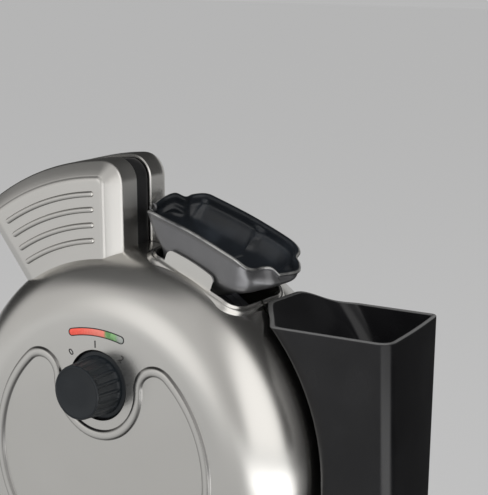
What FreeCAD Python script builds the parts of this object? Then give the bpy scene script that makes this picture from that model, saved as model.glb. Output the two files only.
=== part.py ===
import FreeCAD, Part
import math
import os
import re
import Sketcher
from FreeCAD import Placement, Rotation, Vector

# Vertical waffle maker: two round steel halves stand on edge and part at the plane y = 0. The front half folds
# forward and down about a pin under it. X is to the right, Y goes back and Z is up. The halves are drawn about
# their own axis, and at the end everything moves so that the origin is the middle of the footprint on the
# counter. All sizes are millimetres.

SIZES = {
    "axis_height": 186,
    "origin_x": 28,
    "origin_y": -8.5,
    "body_radius": 120,
    "front_depth": 51.4,
    "rear_depth": 62,
    "shoulder": 37.4,
    "shell_wall": 1,
    "parting_gap": 1,
    "fit_gap": 0.05,
    # fan-shaped handle at the upper left
    "handle_radius": 170.5,
    "handle_side": 1,
    "handle_front": 29.5,
    "handle_liner": 12,
    "handle_rear": 18,
    "handle_start": 80,
    "handle_sweep": 48,
    "handle_corner": 13,
    "handle_edge": 6.5,
    "handle_wall": 1.2,
    "handle_core": 100,
    "panel_margin": 9.5,
    "panel_rise": 1.2,
    "panel_corner": 6,
    "rib_pitch": 8.93,
    "rib_radius": 152,
    "rib_width": 3.4,
    "rib_start": 96,
    "rib_end": 122.6,
    # funnel halves, turned clockwise from the top of the disc
    "funnel_turn": 20,
    "funnel_rim": 142,
    "funnel_depth": 25,
    "funnel_floor": 117,
    "funnel_neck": 123.4,
    "funnel_half": 46,
    "funnel_flat": 28,
    "rear_funnel_depth": 32.5,
    "funnel_wall": 2.4,
    "seam": 0.25,
    "rim_dip": 7,
    "throat_half": 21,
    "throat_depth": 6.5,
    # rolled cut-out in the shells round the funnel
    "cutout_turn": 24.5,
    "cutout_half": 33,
    "cutout_depth": 24.5,
    "lip_width": 3,
    "lip_rise": 2.6,
    "tab_turn": 22.5,
    "tab_half": 17,
    "tab_top": 126.8,
    "tab_sheet": 1.2,
    "tab_corner": 3.5,
    "lip_corner": 5,
    # raised wave bead on the face
    "bead_radius": 75.2,
    "bead_half": 2.9,
    "bead_rise": 1.2,
    "trough_radius": 29,
    "knob_height": 45.6,
    "hump_radius": 12.5,
    # knob
    "skirt_radius": 19.7,
    "skirt_depth": 3,
    "dial_hole": 20.6,
    "grip_base": 17,
    "grip_radius": 15.6,
    "knob_reach": 18.9,
    "knob_seat": 4.2,
    "cap_rim": 1.3,
    "cap_recess": 0.5,
    "flute_count": 18,
    "spindle_radius": 3,
    "bush_radius": 4.4,
    "lamp_height": 76,
    "lamp_radius": 2.5,
    # indicator window
    "window_inner": 74.1,
    "window_outer": 78.6,
    "window_sweep": 28.5,
    # waffle plates
    "plate_radius": 111,
    "cavity_radius": 89,
    "cavity_depth": 13,
    "plate_wall": 3,
    "stud_height": 10,
    "stud_base": 12.5,
    "stud_top": 7.6,
    "stud_pitch": 17,
    "stud_rows": 10,
    "heater_radius": 62,
    "heater_tube": 3.25,
    "shield_wall": 0.8,
    "screw_radius": 1.8,
    "screw_circle": 104,
    # hinge under the front half
    "hinge_back": 22,
    "hinge_height": 58,
    "pin_radius": 3,
    "pin_clearance": 0.05,
    "knuckle_radius": 8,
    "lug_inner": 52.6,
    "lug_outer": 62,
    # stand
    "foot_height": 4,
    "base_top": 24,
    "base_left": 104,
    "base_right": 176,
    "base_front": 92,
    "base_rear": 72,
    "base_wall": 2.8,
    "saddle_front": 4,
    "saddle_rear": 58,
    "saddle_half": 88,
    "saddle_top": 104,
    "pad_top": 28.3,
    "gland_x": 60,
    "gland_height": 13.5,
    "gland_radius": 4.95,
    # caddy at the right
    "caddy_front": 13,
    "caddy_rear": 62,
    "caddy_right": 166.8,
    "caddy_inner": 122.9,
    "caddy_top": 269,
    "caddy_floor": 24.4,
    "caddy_wall": 2.2,
    "caddy_corner": 7,
    # latch at the left end of the handle
    "latch_bore": 1.5,
    "latch_low": 139,
    "hasp_low": 141.8,
    "hasp_width": 12.4,
}

CADDY_SCREWS = ((140, 8), (138, 34))

doc = FreeCAD.newDocument("vertical_waffle_maker")
sizes = doc.addObject("Spreadsheet::Sheet", "sizes")
for row, (alias, value) in enumerate(SIZES.items(), start=1):
    sizes.set(f"A{row}", alias)
    sizes.set(f"B{row}", str(value))
    sizes.setAlias(f"B{row}", alias)
working = doc.addObject("Spreadsheet::Sheet", "working")
doc.recompute()

parts = []


def bound(text):
    """Write a formula of size names as an expression on the sheet."""

    def named(word):
        return f"sizes.{word.group()}" if word.group() in SIZES else word.group()

    return re.sub(r"[a-z_]+", named, str(text))


def worth(text):
    """Work out a formula of size names now, in a cell of the working sheet."""
    working.set("A1", f"={bound(text)}")
    doc.recompute([working])
    return float(working.get("A1"))


def keep(piece, label):
    """Name a finished sub-part, which also names its file."""
    piece.Label = label
    parts.append(piece)
    return piece


def primitive(kind, name, place=None, **formulas):
    """Add a Part primitive whose sizes follow the sheet."""
    solid = doc.addObject(f"Part::{kind}", name)
    if place:
        solid.Placement = place
    for prop, formula in formulas.items():
        solid.setExpression(prop, bound(formula))
    return solid


def minus(name, base, tool):
    cut = doc.addObject("Part::Cut", name)
    cut.Base = base
    cut.Tool = tool
    return cut


def union(name, shapes):
    fuse = doc.addObject("Part::MultiFuse", name)
    fuse.Shapes = shapes
    return fuse


def overlap(name, shapes):
    common = doc.addObject("Part::MultiCommon", name)
    common.Shapes = shapes
    return common


def rounded(name, base, radius, wanted):
    """Round the edges of a solid for which wanted(edge) is true."""
    doc.recompute()
    fillet = doc.addObject("Part::Fillet", name)
    fillet.Base = base
    size = worth(radius)
    fillet.Edges = [(i, size, size) for i, edge in enumerate(base.Shape.Edges, start=1) if wanted(edge)]
    return fillet


def bevelled(name, base, size, wanted):
    """Bevel the edges of a solid for which wanted(edge) is true."""
    doc.recompute()
    bevel = doc.addObject("Part::Chamfer", name)
    bevel.Base = base
    depth = worth(size)
    bevel.Edges = [(i, depth, depth) for i, edge in enumerate(base.Shape.Edges, start=1) if wanted(edge)]
    return bevel


def facing_front(y, turn=0.0, x=0.0, z=0.0):
    """Stand a primitive's own Z axis along -Y, from depth y, turned clockwise in the front view."""
    return Placement(Vector(x, y, z), Rotation(Vector(0, 1, 0), turn).multiply(Rotation(Vector(1, 0, 0), 90)))


def upright(x, y, z):
    """Place a primitive at a point, unturned."""
    return Placement(Vector(x, y, z), Rotation())


def on_axis(y=0.0, turn=0.0):
    """Place something modelled about the disc axis, turned clockwise in the front view."""
    return Placement(Vector(0, y, worth("axis_height")), Rotation(Vector(0, 1, 0), turn))


def new_body(name, place=None):
    body = doc.addObject("PartDesign::Body", name)
    if place:
        body.Placement = place
    return body


def plane_of(body, role):
    return [item for item in body.Origin.OriginFeatures if item.Role == role][0]


def draw(body, name, role, loops, offset=0.0, turn=0.0):
    """Sketch closed loops of corners (x, y) or arcs (x, y, centre x, centre y, "ccw" or "cw").

    Each corner starts the line or arc to the next one. Corners and arc centres are formulas of the sheet."""
    sketch = body.newObject("Sketcher::SketchObject", name)
    sketch.AttachmentSupport = [(plane_of(body, role), "")]
    sketch.MapMode = "FlatFace"
    turned = Rotation(Vector(0, 1, 0), turn)
    sketch.AttachmentOffset = Placement(turned.multVec(Vector(0, 0, offset)), turned)
    for loop in loops:
        first = sketch.GeometryCount
        corners = [Vector(worth(step[0]), worth(step[1]), 0) for step in loop]
        starts, ends = [], []
        for i, step in enumerate(loop):
            a, b = corners[i], corners[(i + 1) % len(loop)]
            if len(step) == 2:
                sketch.addGeometry(Part.LineSegment(a, b))
                starts.append(1)
                ends.append(2)
                continue
            centre = Vector(worth(step[2]), worth(step[3]), 0)
            if step[4] == "cw":
                a, b = b, a
            angles = [math.atan2(p.y - centre.y, p.x - centre.x) for p in (a, b)]
            circle = Part.Circle(centre, Vector(0, 0, 1), (a - centre).Length)
            sketch.addGeometry(Part.ArcOfCircle(circle, *angles))
            starts.append(2 if step[4] == "cw" else 1)
            ends.append(1 if step[4] == "cw" else 2)
        for i, step in enumerate(loop):
            j = (i + 1) % len(loop)
            sketch.addConstraint(Sketcher.Constraint("Coincident", first + i, ends[i], first + j, starts[j]))
        for i, step in enumerate(loop):
            pin_point(sketch, first + i, starts[i], step[0], step[1])
            if len(step) > 2:
                span = corners[(i + 1) % len(loop)] - corners[i]
                level = abs(span.x) >= abs(span.y)
                pin_point(sketch, first + i, 3, None if level else step[2], step[3] if level else None)
    return sketch


def pin_point(sketch, item, point, x_formula, y_formula):
    """Tie a point of a sketch to formulas for its distances from the origin."""
    for kind, formula, axis in (("DistanceX", x_formula, -2), ("DistanceY", y_formula, -1)):
        if formula is None:
            continue
        if str(formula) == "0":
            sketch.addConstraint(Sketcher.Constraint("PointOnObject", item, point, axis))
            continue
        index = sketch.addConstraint(Sketcher.Constraint(kind, -1, 1, item, point, worth(formula)))
        sketch.setExpression(f"Constraints[{index}]", bound(formula))


def revolve(body, name, sketch, groove=False):
    """Turn a sketch a full circle about its own vertical axis, as metal or as a cut."""
    kind = "PartDesign::Groove" if groove else "PartDesign::Revolution"
    feature = body.newObject(kind, name)
    feature.Profile = sketch
    feature.ReferenceAxis = (sketch, ["V_Axis"])
    feature.Angle = 360
    return feature


def pad(body, name, sketch, formula, reverse=False):
    feature = body.newObject("PartDesign::Pad", name)
    feature.Profile = sketch
    feature.setExpression("Length", bound(formula))
    feature.Reversed = reverse
    return feature


def pocket(body, name, sketch, formula, reverse=False):
    feature = body.newObject("PartDesign::Pocket", name)
    feature.Profile = sketch
    feature.setExpression("Length", bound(formula))
    feature.Reversed = reverse
    return feature


def rectangle(left, low, right, high):
    return [(left, low), (right, low), (right, high), (left, high)]


def domed(depth, side, grow):
    """Outline of half a dome in (radius, y): side is -1 for the front half and 1 for the rear half."""
    sign = "-" if side < 0 else ""
    face = f"{sign}({depth} + {grow})"
    start = f"{sign}({depth} - shoulder)"
    turn = "ccw" if side < 0 else "cw"
    return [
        ("0", face),
        ("body_radius - shoulder", face, "body_radius - shoulder", start, turn),
        (f"body_radius + {grow}", start),
    ]


def dome_space(name, depth, side, grow):
    """A full solid of one half's outer form, used to trim what sits on it."""
    body = new_body(name, on_axis())
    outline = domed(depth, side, grow) + [(f"body_radius + {grow}", "0"), ("0", "0")]
    revolve(body, f"{name}_turned", draw(body, f"{name}_outline", "XY_Plane", [outline]))
    return body


def plain_space(name, depth, side, grow):
    """The same room with the shoulder as flat cones just outside it, for what seats inside the machine."""
    body = new_body(name, on_axis())
    sign = "-" if side < 0 else ""
    corner = f"{1 / math.cos(math.radians(9)):.5f} * (shoulder + {grow})"
    shoulder = [(f"body_radius - shoulder + {math.sin(math.radians(turn)):.5f} * {corner}",
                 f"{sign}({depth} - shoulder + {math.cos(math.radians(turn)):.5f} * {corner})")
                for turn in (9, 27, 45, 63, 81)]
    outline = [("0", f"{sign}({depth} + {grow})")] + shoulder + [(f"body_radius + {grow}", "0"), ("0", "0")]
    revolve(body, f"{name}_turned", draw(body, f"{name}_outline", "XY_Plane", [outline]))
    return body


front_space = dome_space("front_space", "front_depth", -1, "fit_gap")
rear_space = dome_space("rear_space", "rear_depth", 1, "fit_gap")
front_seat = plain_space("front_seat", "front_depth", -1, "fit_gap")
rear_seat = plain_space("rear_seat", "rear_depth", 1, "fit_gap")


def dome_wall(name, depth, side):
    """One pressed steel half: a flat face, a round shoulder and a short straight rim."""
    body = new_body(name, on_axis())
    outer = domed(depth, side, 0)
    sign = "-" if side < 0 else ""
    rim = f"{sign}parting_gap"
    start = f"{sign}({depth} - shoulder)"
    inside = [(f"body_radius - shoulder + {math.sin(turn):.5f} * (shoulder - 1.3 * shell_wall)",
               f"{sign}({depth} - shoulder + {math.cos(turn):.5f} * (shoulder - 1.3 * shell_wall))")
              for turn in (math.radians(72), math.radians(45), math.radians(18))]
    outline = outer + [
        ("body_radius", rim),
        ("body_radius - shell_wall", rim),
        ("body_radius - shell_wall", start),
        *inside,
        ("body_radius - shoulder", f"{sign}({depth} - shell_wall)"),
        ("0", f"{sign}({depth} - shell_wall)"),
    ]
    revolve(body, f"{name}_dome", draw(body, f"{name}_wall", "XY_Plane", [outline]))
    return body


def cut_funnel_hole(body, name, side):
    """Cut the hole in the rim that the funnel half stands in."""
    low, high = ("-cutout_depth", "0") if side < 0 else ("0", "cutout_depth")
    hole = draw(body, f"{name}_hole", "XY_Plane", [rectangle("-cutout_half", low, "cutout_half", high)],
                worth("body_radius - 30"), worth("cutout_turn"))
    pocket(body, f"{name}_cutout", hole, "60", True)


def wave_loop(offset):
    """One edge of the wave bead: a big circle, two humps and a trough that goes under the knob."""
    ring = f"(bead_radius + {offset})"
    hump = f"(hump_radius + {offset})"
    trough = f"(trough_radius - {offset})"
    hump_x = "(trough_radius + hump_radius)"
    reach = worth("bead_radius - hump_radius")
    hump_z = math.sqrt(reach ** 2 - worth(hump_x) ** 2)
    touch = f"{hump_z / reach} * {ring}"
    side = f"{worth(hump_x) / reach} * {ring}"
    return [
        (f"-{side}", touch, "0", "0", "ccw"),
        (side, touch, hump_x, f"{hump_z}", "ccw"),
        (trough, f"{hump_z}"),
        (trough, "knob_height", "0", "knob_height", "cw"),
        (f"-{trough}", "knob_height"),
        (f"-{trough}", f"{hump_z}", f"-{hump_x}", f"{hump_z}", "ccw"),
    ]


def window_loop(grow):
    """The curved slot of the indicator window, concentric with the disc, with round ends."""
    half = math.radians(worth("window_sweep") / 2)
    wide, tall = f"{math.sin(half):.6f}", f"{math.cos(half):.6f}"
    low, high = f"(window_inner - {grow})", f"(window_outer + {grow})"
    middle = "(window_inner + window_outer) / 2"
    return [
        (f"-{wide} * {high}", f"{tall} * {high}", "0", "0", "cw"),
        (f"{wide} * {high}", f"{tall} * {high}", f"{wide} * {middle}", f"{tall} * {middle}", "cw"),
        (f"{wide} * {low}", f"{tall} * {low}", "0", "0", "ccw"),
        (f"-{wide} * {low}", f"{tall} * {low}", f"-{wide} * {middle}", f"{tall} * {middle}", "cw"),
    ]


def disc_loop(radius, x="0", y="0"):
    """A circle as two half turns."""
    return [(f"{x} + ({radius})", y, x, y, "ccw"), (f"{x} - ({radius})", y, x, y, "ccw")]


def block(name, place, length, width, height):
    """A box centred on its placement in its own X, with Y and Z growing from it."""
    solid = primitive("Box", name, None, Length=length, Width=width, Height=height)
    solid.Placement = place.multiply(Placement(Vector(-worth(length) / 2, 0, 0), Rotation()))
    return solid


def straight(edge):
    return edge.Curve.TypeId == "Part::GeomLine"


def run_of(edge):
    """The vector from one end of an edge to the other."""
    return edge.Vertexes[-1].Point - edge.Vertexes[0].Point


def lies_at(edge, y):
    box = edge.BoundBox
    return abs(box.YMin - y) < 0.01 and abs(box.YMax - y) < 0.01


def stands_at(edge, y):
    """True for a straight edge at depth y that runs away from the disc axis."""
    outward = on_axis(0, worth("cutout_turn")).Rotation.multVec(Vector(0, 0, 1))
    return straight(edge) and lies_at(edge, y) and abs(run_of(edge).dot(outward)) > 0.99 * edge.Length


def rolled_lip(name, side):
    """The rolled rim of the cut-out: a ring that follows the cylinder of the shell."""
    place = on_axis(0, worth("cutout_turn"))
    depth, reach = worth("cutout_depth"), worth("cutout_depth + lip_width")
    outer_y, inner_y = (-reach, -depth) if side < 0 else (worth("parting_gap"), -1)
    ring = block(f"{name}_outer", place.multiply(upright(0, outer_y, worth("body_radius - 28"))),
                 "2 * (cutout_half + lip_width)", "cutout_depth + lip_width - parting_gap", "60")
    hole = block(f"{name}_inner", place.multiply(upright(0, inner_y, worth("body_radius - 30"))),
                 "2 * cutout_half", "cutout_depth + 1", "70")
    soft = rounded(f"{name}_corners", minus(f"{name}_ring", ring, hole), "lip_corner",
                   lambda edge: stands_at(edge, side * depth))
    outline = rounded(f"{name}_outline", soft, "lip_corner + 2", lambda edge: stands_at(edge, side * reach))
    length = "cutout_depth + 3 * lip_width"
    band_y = 0 if side < 0 else worth(length)
    band = primitive("Cylinder", f"{name}_band", facing_front(band_y, z=worth("axis_height")),
                     Radius="body_radius + lip_rise", Height=length)
    inside = primitive("Cylinder", f"{name}_inside", facing_front(band_y + 1, z=worth("axis_height")),
                       Radius="body_radius - shell_wall", Height=f"{length} + 2")
    return overlap(name, [outline, minus(f"{name}_tube", band, inside)])


def front_shell():
    body = dome_wall("front_dome", "front_depth", -1)
    bead = draw(body, "bead_edges", "XZ_Plane", [wave_loop("bead_half"), wave_loop("-bead_half")],
                worth("front_depth - shell_wall / 2"))
    pad(body, "bead", bead, "bead_rise + shell_wall / 2")
    openings = draw(body, "dial_and_window", "XZ_Plane", [disc_loop("dial_hole", "0", "knob_height"),
                                                          window_loop("0.2")], worth("front_depth - 6"))
    pocket(body, "face_openings", openings, "12", True)
    cut_funnel_hole(body, "front", -1)
    doc.recompute()
    top = worth("front_depth + bead_rise")
    crest = [f"Edge{i}" for i, edge in enumerate(body.Shape.Edges, start=1)
             if abs(edge.BoundBox.YMin + top) < 0.01 and abs(edge.BoundBox.YMax + top) < 0.01]
    raised = body.Tip
    bevel = body.newObject("PartDesign::Chamfer", "bead_crest")
    bevel.Base = (raised, crest)
    bevel.setExpression("Size", bound("bead_rise * 0.9"))
    place = on_axis(0, worth("tab_turn"))
    foot = Vector(0, -worth("cutout_depth + tab_sheet + 0.2"), worth("body_radius - shell_wall"))
    sheet = block("tab_sheet", place.multiply(Placement(foot, Rotation())), "2 * tab_half", "tab_sheet",
                  "tab_top - body_radius + shell_wall")
    top_z = worth("tab_top")
    soft = rounded("tab", sheet, "tab_corner", lambda edge: short_corner(edge, place, top_z))
    keep(union("front_shell", [body, rolled_lip("front_lip", -1), soft]), "front_shell")


def short_corner(edge, place, top):
    """True for the two upper corners of the tab, which run through its thickness."""
    local = [place.inverse().multVec(vertex.Point) for vertex in edge.Vertexes]
    return all(abs(point.z - top) < 0.01 for point in local) and edge.Length < 2


def rear_shell():
    body = dome_wall("rear_dome", "rear_depth", 1)
    cut_funnel_hole(body, "rear", 1)
    keep(union("rear_shell", [body, rolled_lip("rear_lip", 1)]), "rear_shell")


def handle_sector(name, inset, rear_y, length):
    """The fan of the handle as a slice of a cylinder, cut off flat at its right side."""
    shorter = f"({inset}) / handle_radius * 57.3"
    fan = primitive("Cylinder", f"{name}_fan", None, Radius=f"handle_radius - ({inset})", Height=length,
                    Angle=f"handle_sweep - {shorter}")
    fan.Placement = Placement(Vector(0, worth(rear_y), worth("axis_height")),
                              Rotation(Vector(0, 1, 0), -worth("handle_start")).multiply(
                                  Rotation(Vector(1, 0, 0), 90)))
    side = primitive("Box", f"{name}_side", None, Length="200", Width="100", Height="200")
    side.Placement = upright(worth(f"handle_side - ({inset}) - 200"), -50, worth("axis_height"))
    core = primitive("Cylinder", f"{name}_core", facing_front(worth(rear_y) + 1, z=worth("axis_height")),
                     Radius="handle_core", Height=f"{length} + 2")
    return minus(f"{name}_cut", overlap(f"{name}_slice", [fan, side]), core)


def runs_along_y(edge):
    span = run_of(edge)
    return straight(edge) and abs(span.x) + abs(span.z) < 0.01


def beyond(edge, radius):
    """True when both ends of an edge are further than radius from the disc axis."""
    height = worth("axis_height")
    return all(math.hypot(v.Point.x, v.Point.z - height) > radius for v in edge.Vertexes)


def rim_edge(edge, y):
    """True for an edge of the fan's outline at depth y, leaving out the arc next to the disc."""
    at_core = edge.Curve.TypeId == "Part::GeomCircle" and abs(edge.Curve.Radius - worth("handle_core")) < 0.01
    return lies_at(edge, y) and beyond(edge, worth("handle_core - 1")) and not at_core


def handle_form(name, inset, rear_y, length, outer_y):
    """The rounded fan of one handle half, or its hollow, inset by the wall and bevelled."""
    far, face = worth("handle_radius - 5"), worth(outer_y)
    flat = rounded(f"{name}_block", handle_sector(name, inset, rear_y, length), f"handle_corner - {inset}",
                   lambda edge: runs_along_y(edge) and beyond(edge, far))
    soften, size = (rounded, "handle_edge") if inset == "0" else (bevelled, "0.6 * handle_edge")
    return soften(f"{name}_soft", flat, size, lambda edge: rim_edge(edge, face))


def grip_bead(index):
    """One raised bead on the panel: a bevelled bar bent along the handle, with its foot sunk in the panel."""
    radius = f"rib_radius - {index} * rib_pitch"
    low, top = "-(handle_front + panel_rise - 0.4)", "-(handle_front + panel_rise + rib_width / 2)"
    body = new_body(f"grip_bead_{index}", on_axis(0, worth("0 - rib_end")))
    outline = [(f"{radius} - rib_width / 2", low), (f"{radius} + rib_width / 2", low),
               (f"{radius} + rib_width / 4", top), (f"{radius} - rib_width / 4", top)]
    bend = revolve(body, f"grip_bead_{index}_bend", draw(body, f"grip_bead_{index}_end", "XY_Plane", [outline]))
    bend.setExpression("Angle", bound(f"rib_end - rib_start - 0.4 * {index}"))
    return body


def front_handle():
    outer = handle_form("front_handle", "0", "-handle_liner", "handle_front - handle_liner", "-handle_front")
    inner = handle_form("front_hollow", "handle_wall", "1 - handle_liner",
                        "handle_front - handle_liner + 1 - handle_wall", "-handle_front + handle_wall")
    shell = minus("front_handle_seated", minus("front_handle_wall", outer, inner), front_space)
    raised = handle_sector("panel", "panel_margin", "-handle_front + handle_wall / 2",
                           "panel_rise + handle_wall / 2")
    far = worth("handle_radius - panel_margin - 5")
    panel = rounded("panel_corners", raised, "panel_corner",
                    lambda edge: runs_along_y(edge) and beyond(edge, far))
    top = -worth("handle_front + panel_rise")
    panel = bevelled("panel_bevel", panel, "0.75 * panel_rise", lambda edge: rim_edge(edge, top))
    beads = [grip_bead(index) for index in range(4)]
    face = minus("panel_seated", union("panel_and_beads", [panel, *beads]), front_space)
    keep(union("front_handle_shell", [shell, face]), "front_handle_shell")
    liner = handle_sector("front_liner", "2", "-seam", "handle_liner - seam")
    far = worth("handle_radius - 8")
    soft = rounded("front_liner_soft", liner, "handle_corner - 2",
                   lambda edge: runs_along_y(edge) and beyond(edge, far))
    keep(minus("front_grip_liner", soft, front_space), "front_grip_liner")


def rear_handle():
    outer = handle_form("rear_handle", "0", "handle_rear", "handle_rear - seam", "handle_rear")
    inner = handle_form("rear_hollow", "handle_wall", "handle_rear - handle_wall", "handle_rear + 1",
                        "handle_rear - handle_wall")
    keep(minus("rear_handle_seated", minus("rear_handle_wall", outer, inner), rear_space), "rear_handle_shell")
    liner = handle_sector("rear_liner", "handle_wall + 0.2", "5", "3.5")
    far = worth("handle_radius - 8")
    soft = rounded("rear_liner_soft", liner, "handle_corner - handle_wall - 0.2",
                   lambda edge: runs_along_y(edge) and beyond(edge, far))
    keep(minus("rear_grip_liner", soft, rear_space), "rear_grip_liner")


def half_place(side, turn=0.0):
    """Place a piece drawn as a front piece, turned about to face the other way for the rear half."""
    facing = Rotation() if side < 0 else Rotation(Vector(0, 0, 1), 180)
    return Placement(Vector(0, 0, worth("axis_height")), Rotation(Vector(0, 1, 0), turn).multiply(facing))


def bulge(a, b, rise):
    """The middle of a shallow round corner between two points, rise to the right of the way from a to b."""
    span = math.hypot(b[0] - a[0], b[1] - a[1])
    return ((a[0] + b[0]) / 2 + rise * (b[1] - a[1]) / span, (a[1] + b[1]) / 2 - rise * (b[0] - a[0]) / span)


def funnel_loop(lobe, notch, notch_y, flat, depth, seam_y):
    """Plan of half a funnel in short flats: a straight wall, two corners and a lobe at each end of the seam."""
    start, knee, corner = (lobe, seam_y), (notch, notch_y), (flat, -depth)
    right = [start, bulge(knee, start, 0.14 * abs(notch_y)), knee, bulge(corner, knee, 0.1 * depth), corner]
    left = [(-x, y) for x, y in right]
    return [(f"{x:.4f}", f"{y:.4f}") for x, y in left + right[::-1]]


def funnel_half(label, side, depth):
    """Half of the batter funnel: a thin-walled casting that narrows to a slot over the plates."""
    body = new_body(f"{label}_body", half_place(side, worth("funnel_turn")))
    wall, seam = worth("funnel_wall"), -worth("seam")
    lobe, flat = worth("funnel_half"), worth("funnel_flat")
    notch, notch_y = flat + 9 + 0.15 * (depth - 25), -0.62 * depth
    throat, neck_depth = worth("throat_half"), 17
    outer_neck = (throat + wall, throat + 1, -8, throat - 4, neck_depth, seam)
    inner_neck = (throat, throat - 1, -6.5, throat - 5, neck_depth - wall, 1.5)
    outer_rim = (lobe, notch, notch_y, flat, depth, seam)
    inner_rim = (lobe - wall, notch - wall, notch_y + 0.7 * wall, flat, depth - wall, 1.5)
    forms = (("outer", "AdditiveLoft", [(outer_rim, "funnel_rim"), (outer_neck, "funnel_neck")]),
             ("inner", "SubtractiveLoft", [(inner_rim, "funnel_rim + 0.5"), (inner_neck, "funnel_neck")]))
    for name, kind, levels in forms:
        sketches = [draw(body, f"{label}_{name}_{order}", "XY_Plane", [funnel_loop(*plan)], worth(level))
                    for order, (plan, level) in enumerate(levels)]
        loft = body.newObject(f"PartDesign::{kind}", f"{label}_{name}")
        loft.Profile = sketches[0]
        loft.Sections = [sketches[1]]
    neck = draw(body, f"{label}_neck_plan", "XY_Plane", [funnel_loop(*outer_neck)], worth("plate_radius + 0.3"))
    pad(body, f"{label}_neck", neck, "funnel_neck - plate_radius - 0.3")
    room = draw(body, f"{label}_room_plan", "XY_Plane", [funnel_loop(*inner_neck)], worth("funnel_neck"))
    pocket(body, f"{label}_room", room, "funnel_neck - funnel_floor - funnel_wall")
    slot = draw(body, f"{label}_slot", "XY_Plane",
                [rectangle("-throat_half", "-throat_depth", "throat_half", "2")], worth("plate_radius - 2"))
    pocket(body, f"{label}_throat", slot, "16", True)
    far = "(funnel_half + 6)"
    dips = [[("funnel_flat + 3", "funnel_rim + 1"), (far, "funnel_rim - rim_dip - 3"), (far, "funnel_rim + 1")],
            [("-(funnel_flat + 3)", "funnel_rim + 1"), (f"-{far}", "funnel_rim + 1"),
             (f"-{far}", "funnel_rim - rim_dip - 3")]]
    sides = draw(body, f"{label}_dips", "XZ_Plane", dips, -3)
    pocket(body, f"{label}_rim_ends", sides, "40", True)
    keep(body, label)


def screw_ring(radius):
    """Four circles on the flange that joins plate and shield."""
    at = "screw_circle * 0.707107"
    return [disc_loop(radius, f"{x}{at}", f"{z}{at}") for x in ("", "-") for z in ("", "-")]


def pan_screw(name, place, length):
    """A screw that points along its placement's Z, with the underside of its head at the placement."""
    head = primitive("Cone", f"{name}_head", place.multiply(upright(0, 0, -1.8)),
                     Radius1="1.4 * screw_radius", Radius2="2 * screw_radius", Height="1.8")
    shank = primitive("Cylinder", f"{name}_shank", place, Radius="screw_radius", Height=length)
    return [head, shank]


def plate_screws(label, side):
    """Four screws from the shield's flange into the rim of the plate."""
    at = worth("screw_circle * 0.707107")
    pieces = []
    for order, (x, z) in enumerate(((at, at), (-at, at), (at, -at), (-at, -at))):
        y = side * worth("8 + shield_wall + 0.05")
        turn = Rotation(Vector(1, 0, 0), 90 * side)
        pieces += pan_screw(f"{label}_{order}", Placement(Vector(x, y, worth("axis_height") + z), turn), "6")
    keep(union(label, pieces), label)


def waffle_plate(label, side):
    """A cast dish with a grid of tapered studs and half of the batter throat."""
    body = new_body(f"{label}_body", half_place(side))
    floor = draw(body, f"{label}_floor", "XZ_Plane", [disc_loop("125")], worth("cavity_depth"))
    pad(body, f"{label}_disc", floor, "plate_wall")
    first = "-(stud_rows - 1) / 2 * stud_pitch"
    raised = body.newObject("PartDesign::AdditiveWedge", f"{label}_stud")
    raised.AttachmentSupport = [(plane_of(body, "XZ_Plane"), "")]
    raised.MapMode = "FlatFace"
    raised.AttachmentOffset = Placement(Vector(worth(first), worth(first), worth("cavity_depth")),
                                        Rotation(Vector(1, 0, 0), -90))
    for axis in "XZ":
        for end, sign in (("min", "-"), ("max", "")):
            raised.setExpression(f"{axis}{end}", bound(f"{sign}stud_base / 2"))
            raised.setExpression(f"{axis}2{end}", bound(f"{sign}stud_top / 2"))
    raised.Ymin = 0
    raised.setExpression("Ymax", bound("stud_height"))
    grid = body.newObject("PartDesign::MultiTransform", f"{label}_grid")
    rows = []
    for axis in ("X_Axis", "Z_Axis"):
        row_pattern = doc.addObject("PartDesign::LinearPattern", f"{label}_{axis}")
        body.addObject(row_pattern)
        row_pattern.Direction = (plane_of(body, axis), [""])
        row_pattern.setExpression("Length", bound("(stud_rows - 1) * stud_pitch"))
        row_pattern.setExpression("Occurrences", bound("stud_rows"))
        rows.append(row_pattern)
    grid.Originals = [raised]
    grid.Transformations = rows
    body.Tip = grid
    beyond_rim = draw(body, f"{label}_beyond", "XY_Plane",
                      [rectangle("cavity_radius - 2.5", "-cavity_depth - 8", "200", "1")])
    revolve(body, f"{label}_trim", beyond_rim, groove=True)
    rim = [("cavity_radius", "-seam - 0.15"), ("cavity_radius - 3.5", "-cavity_depth"),
           ("cavity_radius - 3.5", "-cavity_depth - plate_wall"),
           ("cavity_radius + 2", "-cavity_depth - plate_wall"), ("cavity_radius + 4", "-5"),
           ("plate_radius", "-5"), ("plate_radius", "-seam - 0.15")]
    revolve(body, f"{label}_rim", draw(body, f"{label}_rim_outline", "XY_Plane", [rim]))
    turn = worth("funnel_turn") * (1 if side < 0 else -1)
    throat = draw(body, f"{label}_throat", "XY_Plane",
                  [rectangle("-throat_half", "-4", "throat_half", "1")], 84, turn)
    pocket(body, f"{label}_inlet", throat, "40", True)
    holes = draw(body, f"{label}_screw_plan", "XZ_Plane", screw_ring("screw_radius + 0.05"), 5)
    pocket(body, f"{label}_screw_holes", holes, "3")
    keep(body, label)


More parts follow.
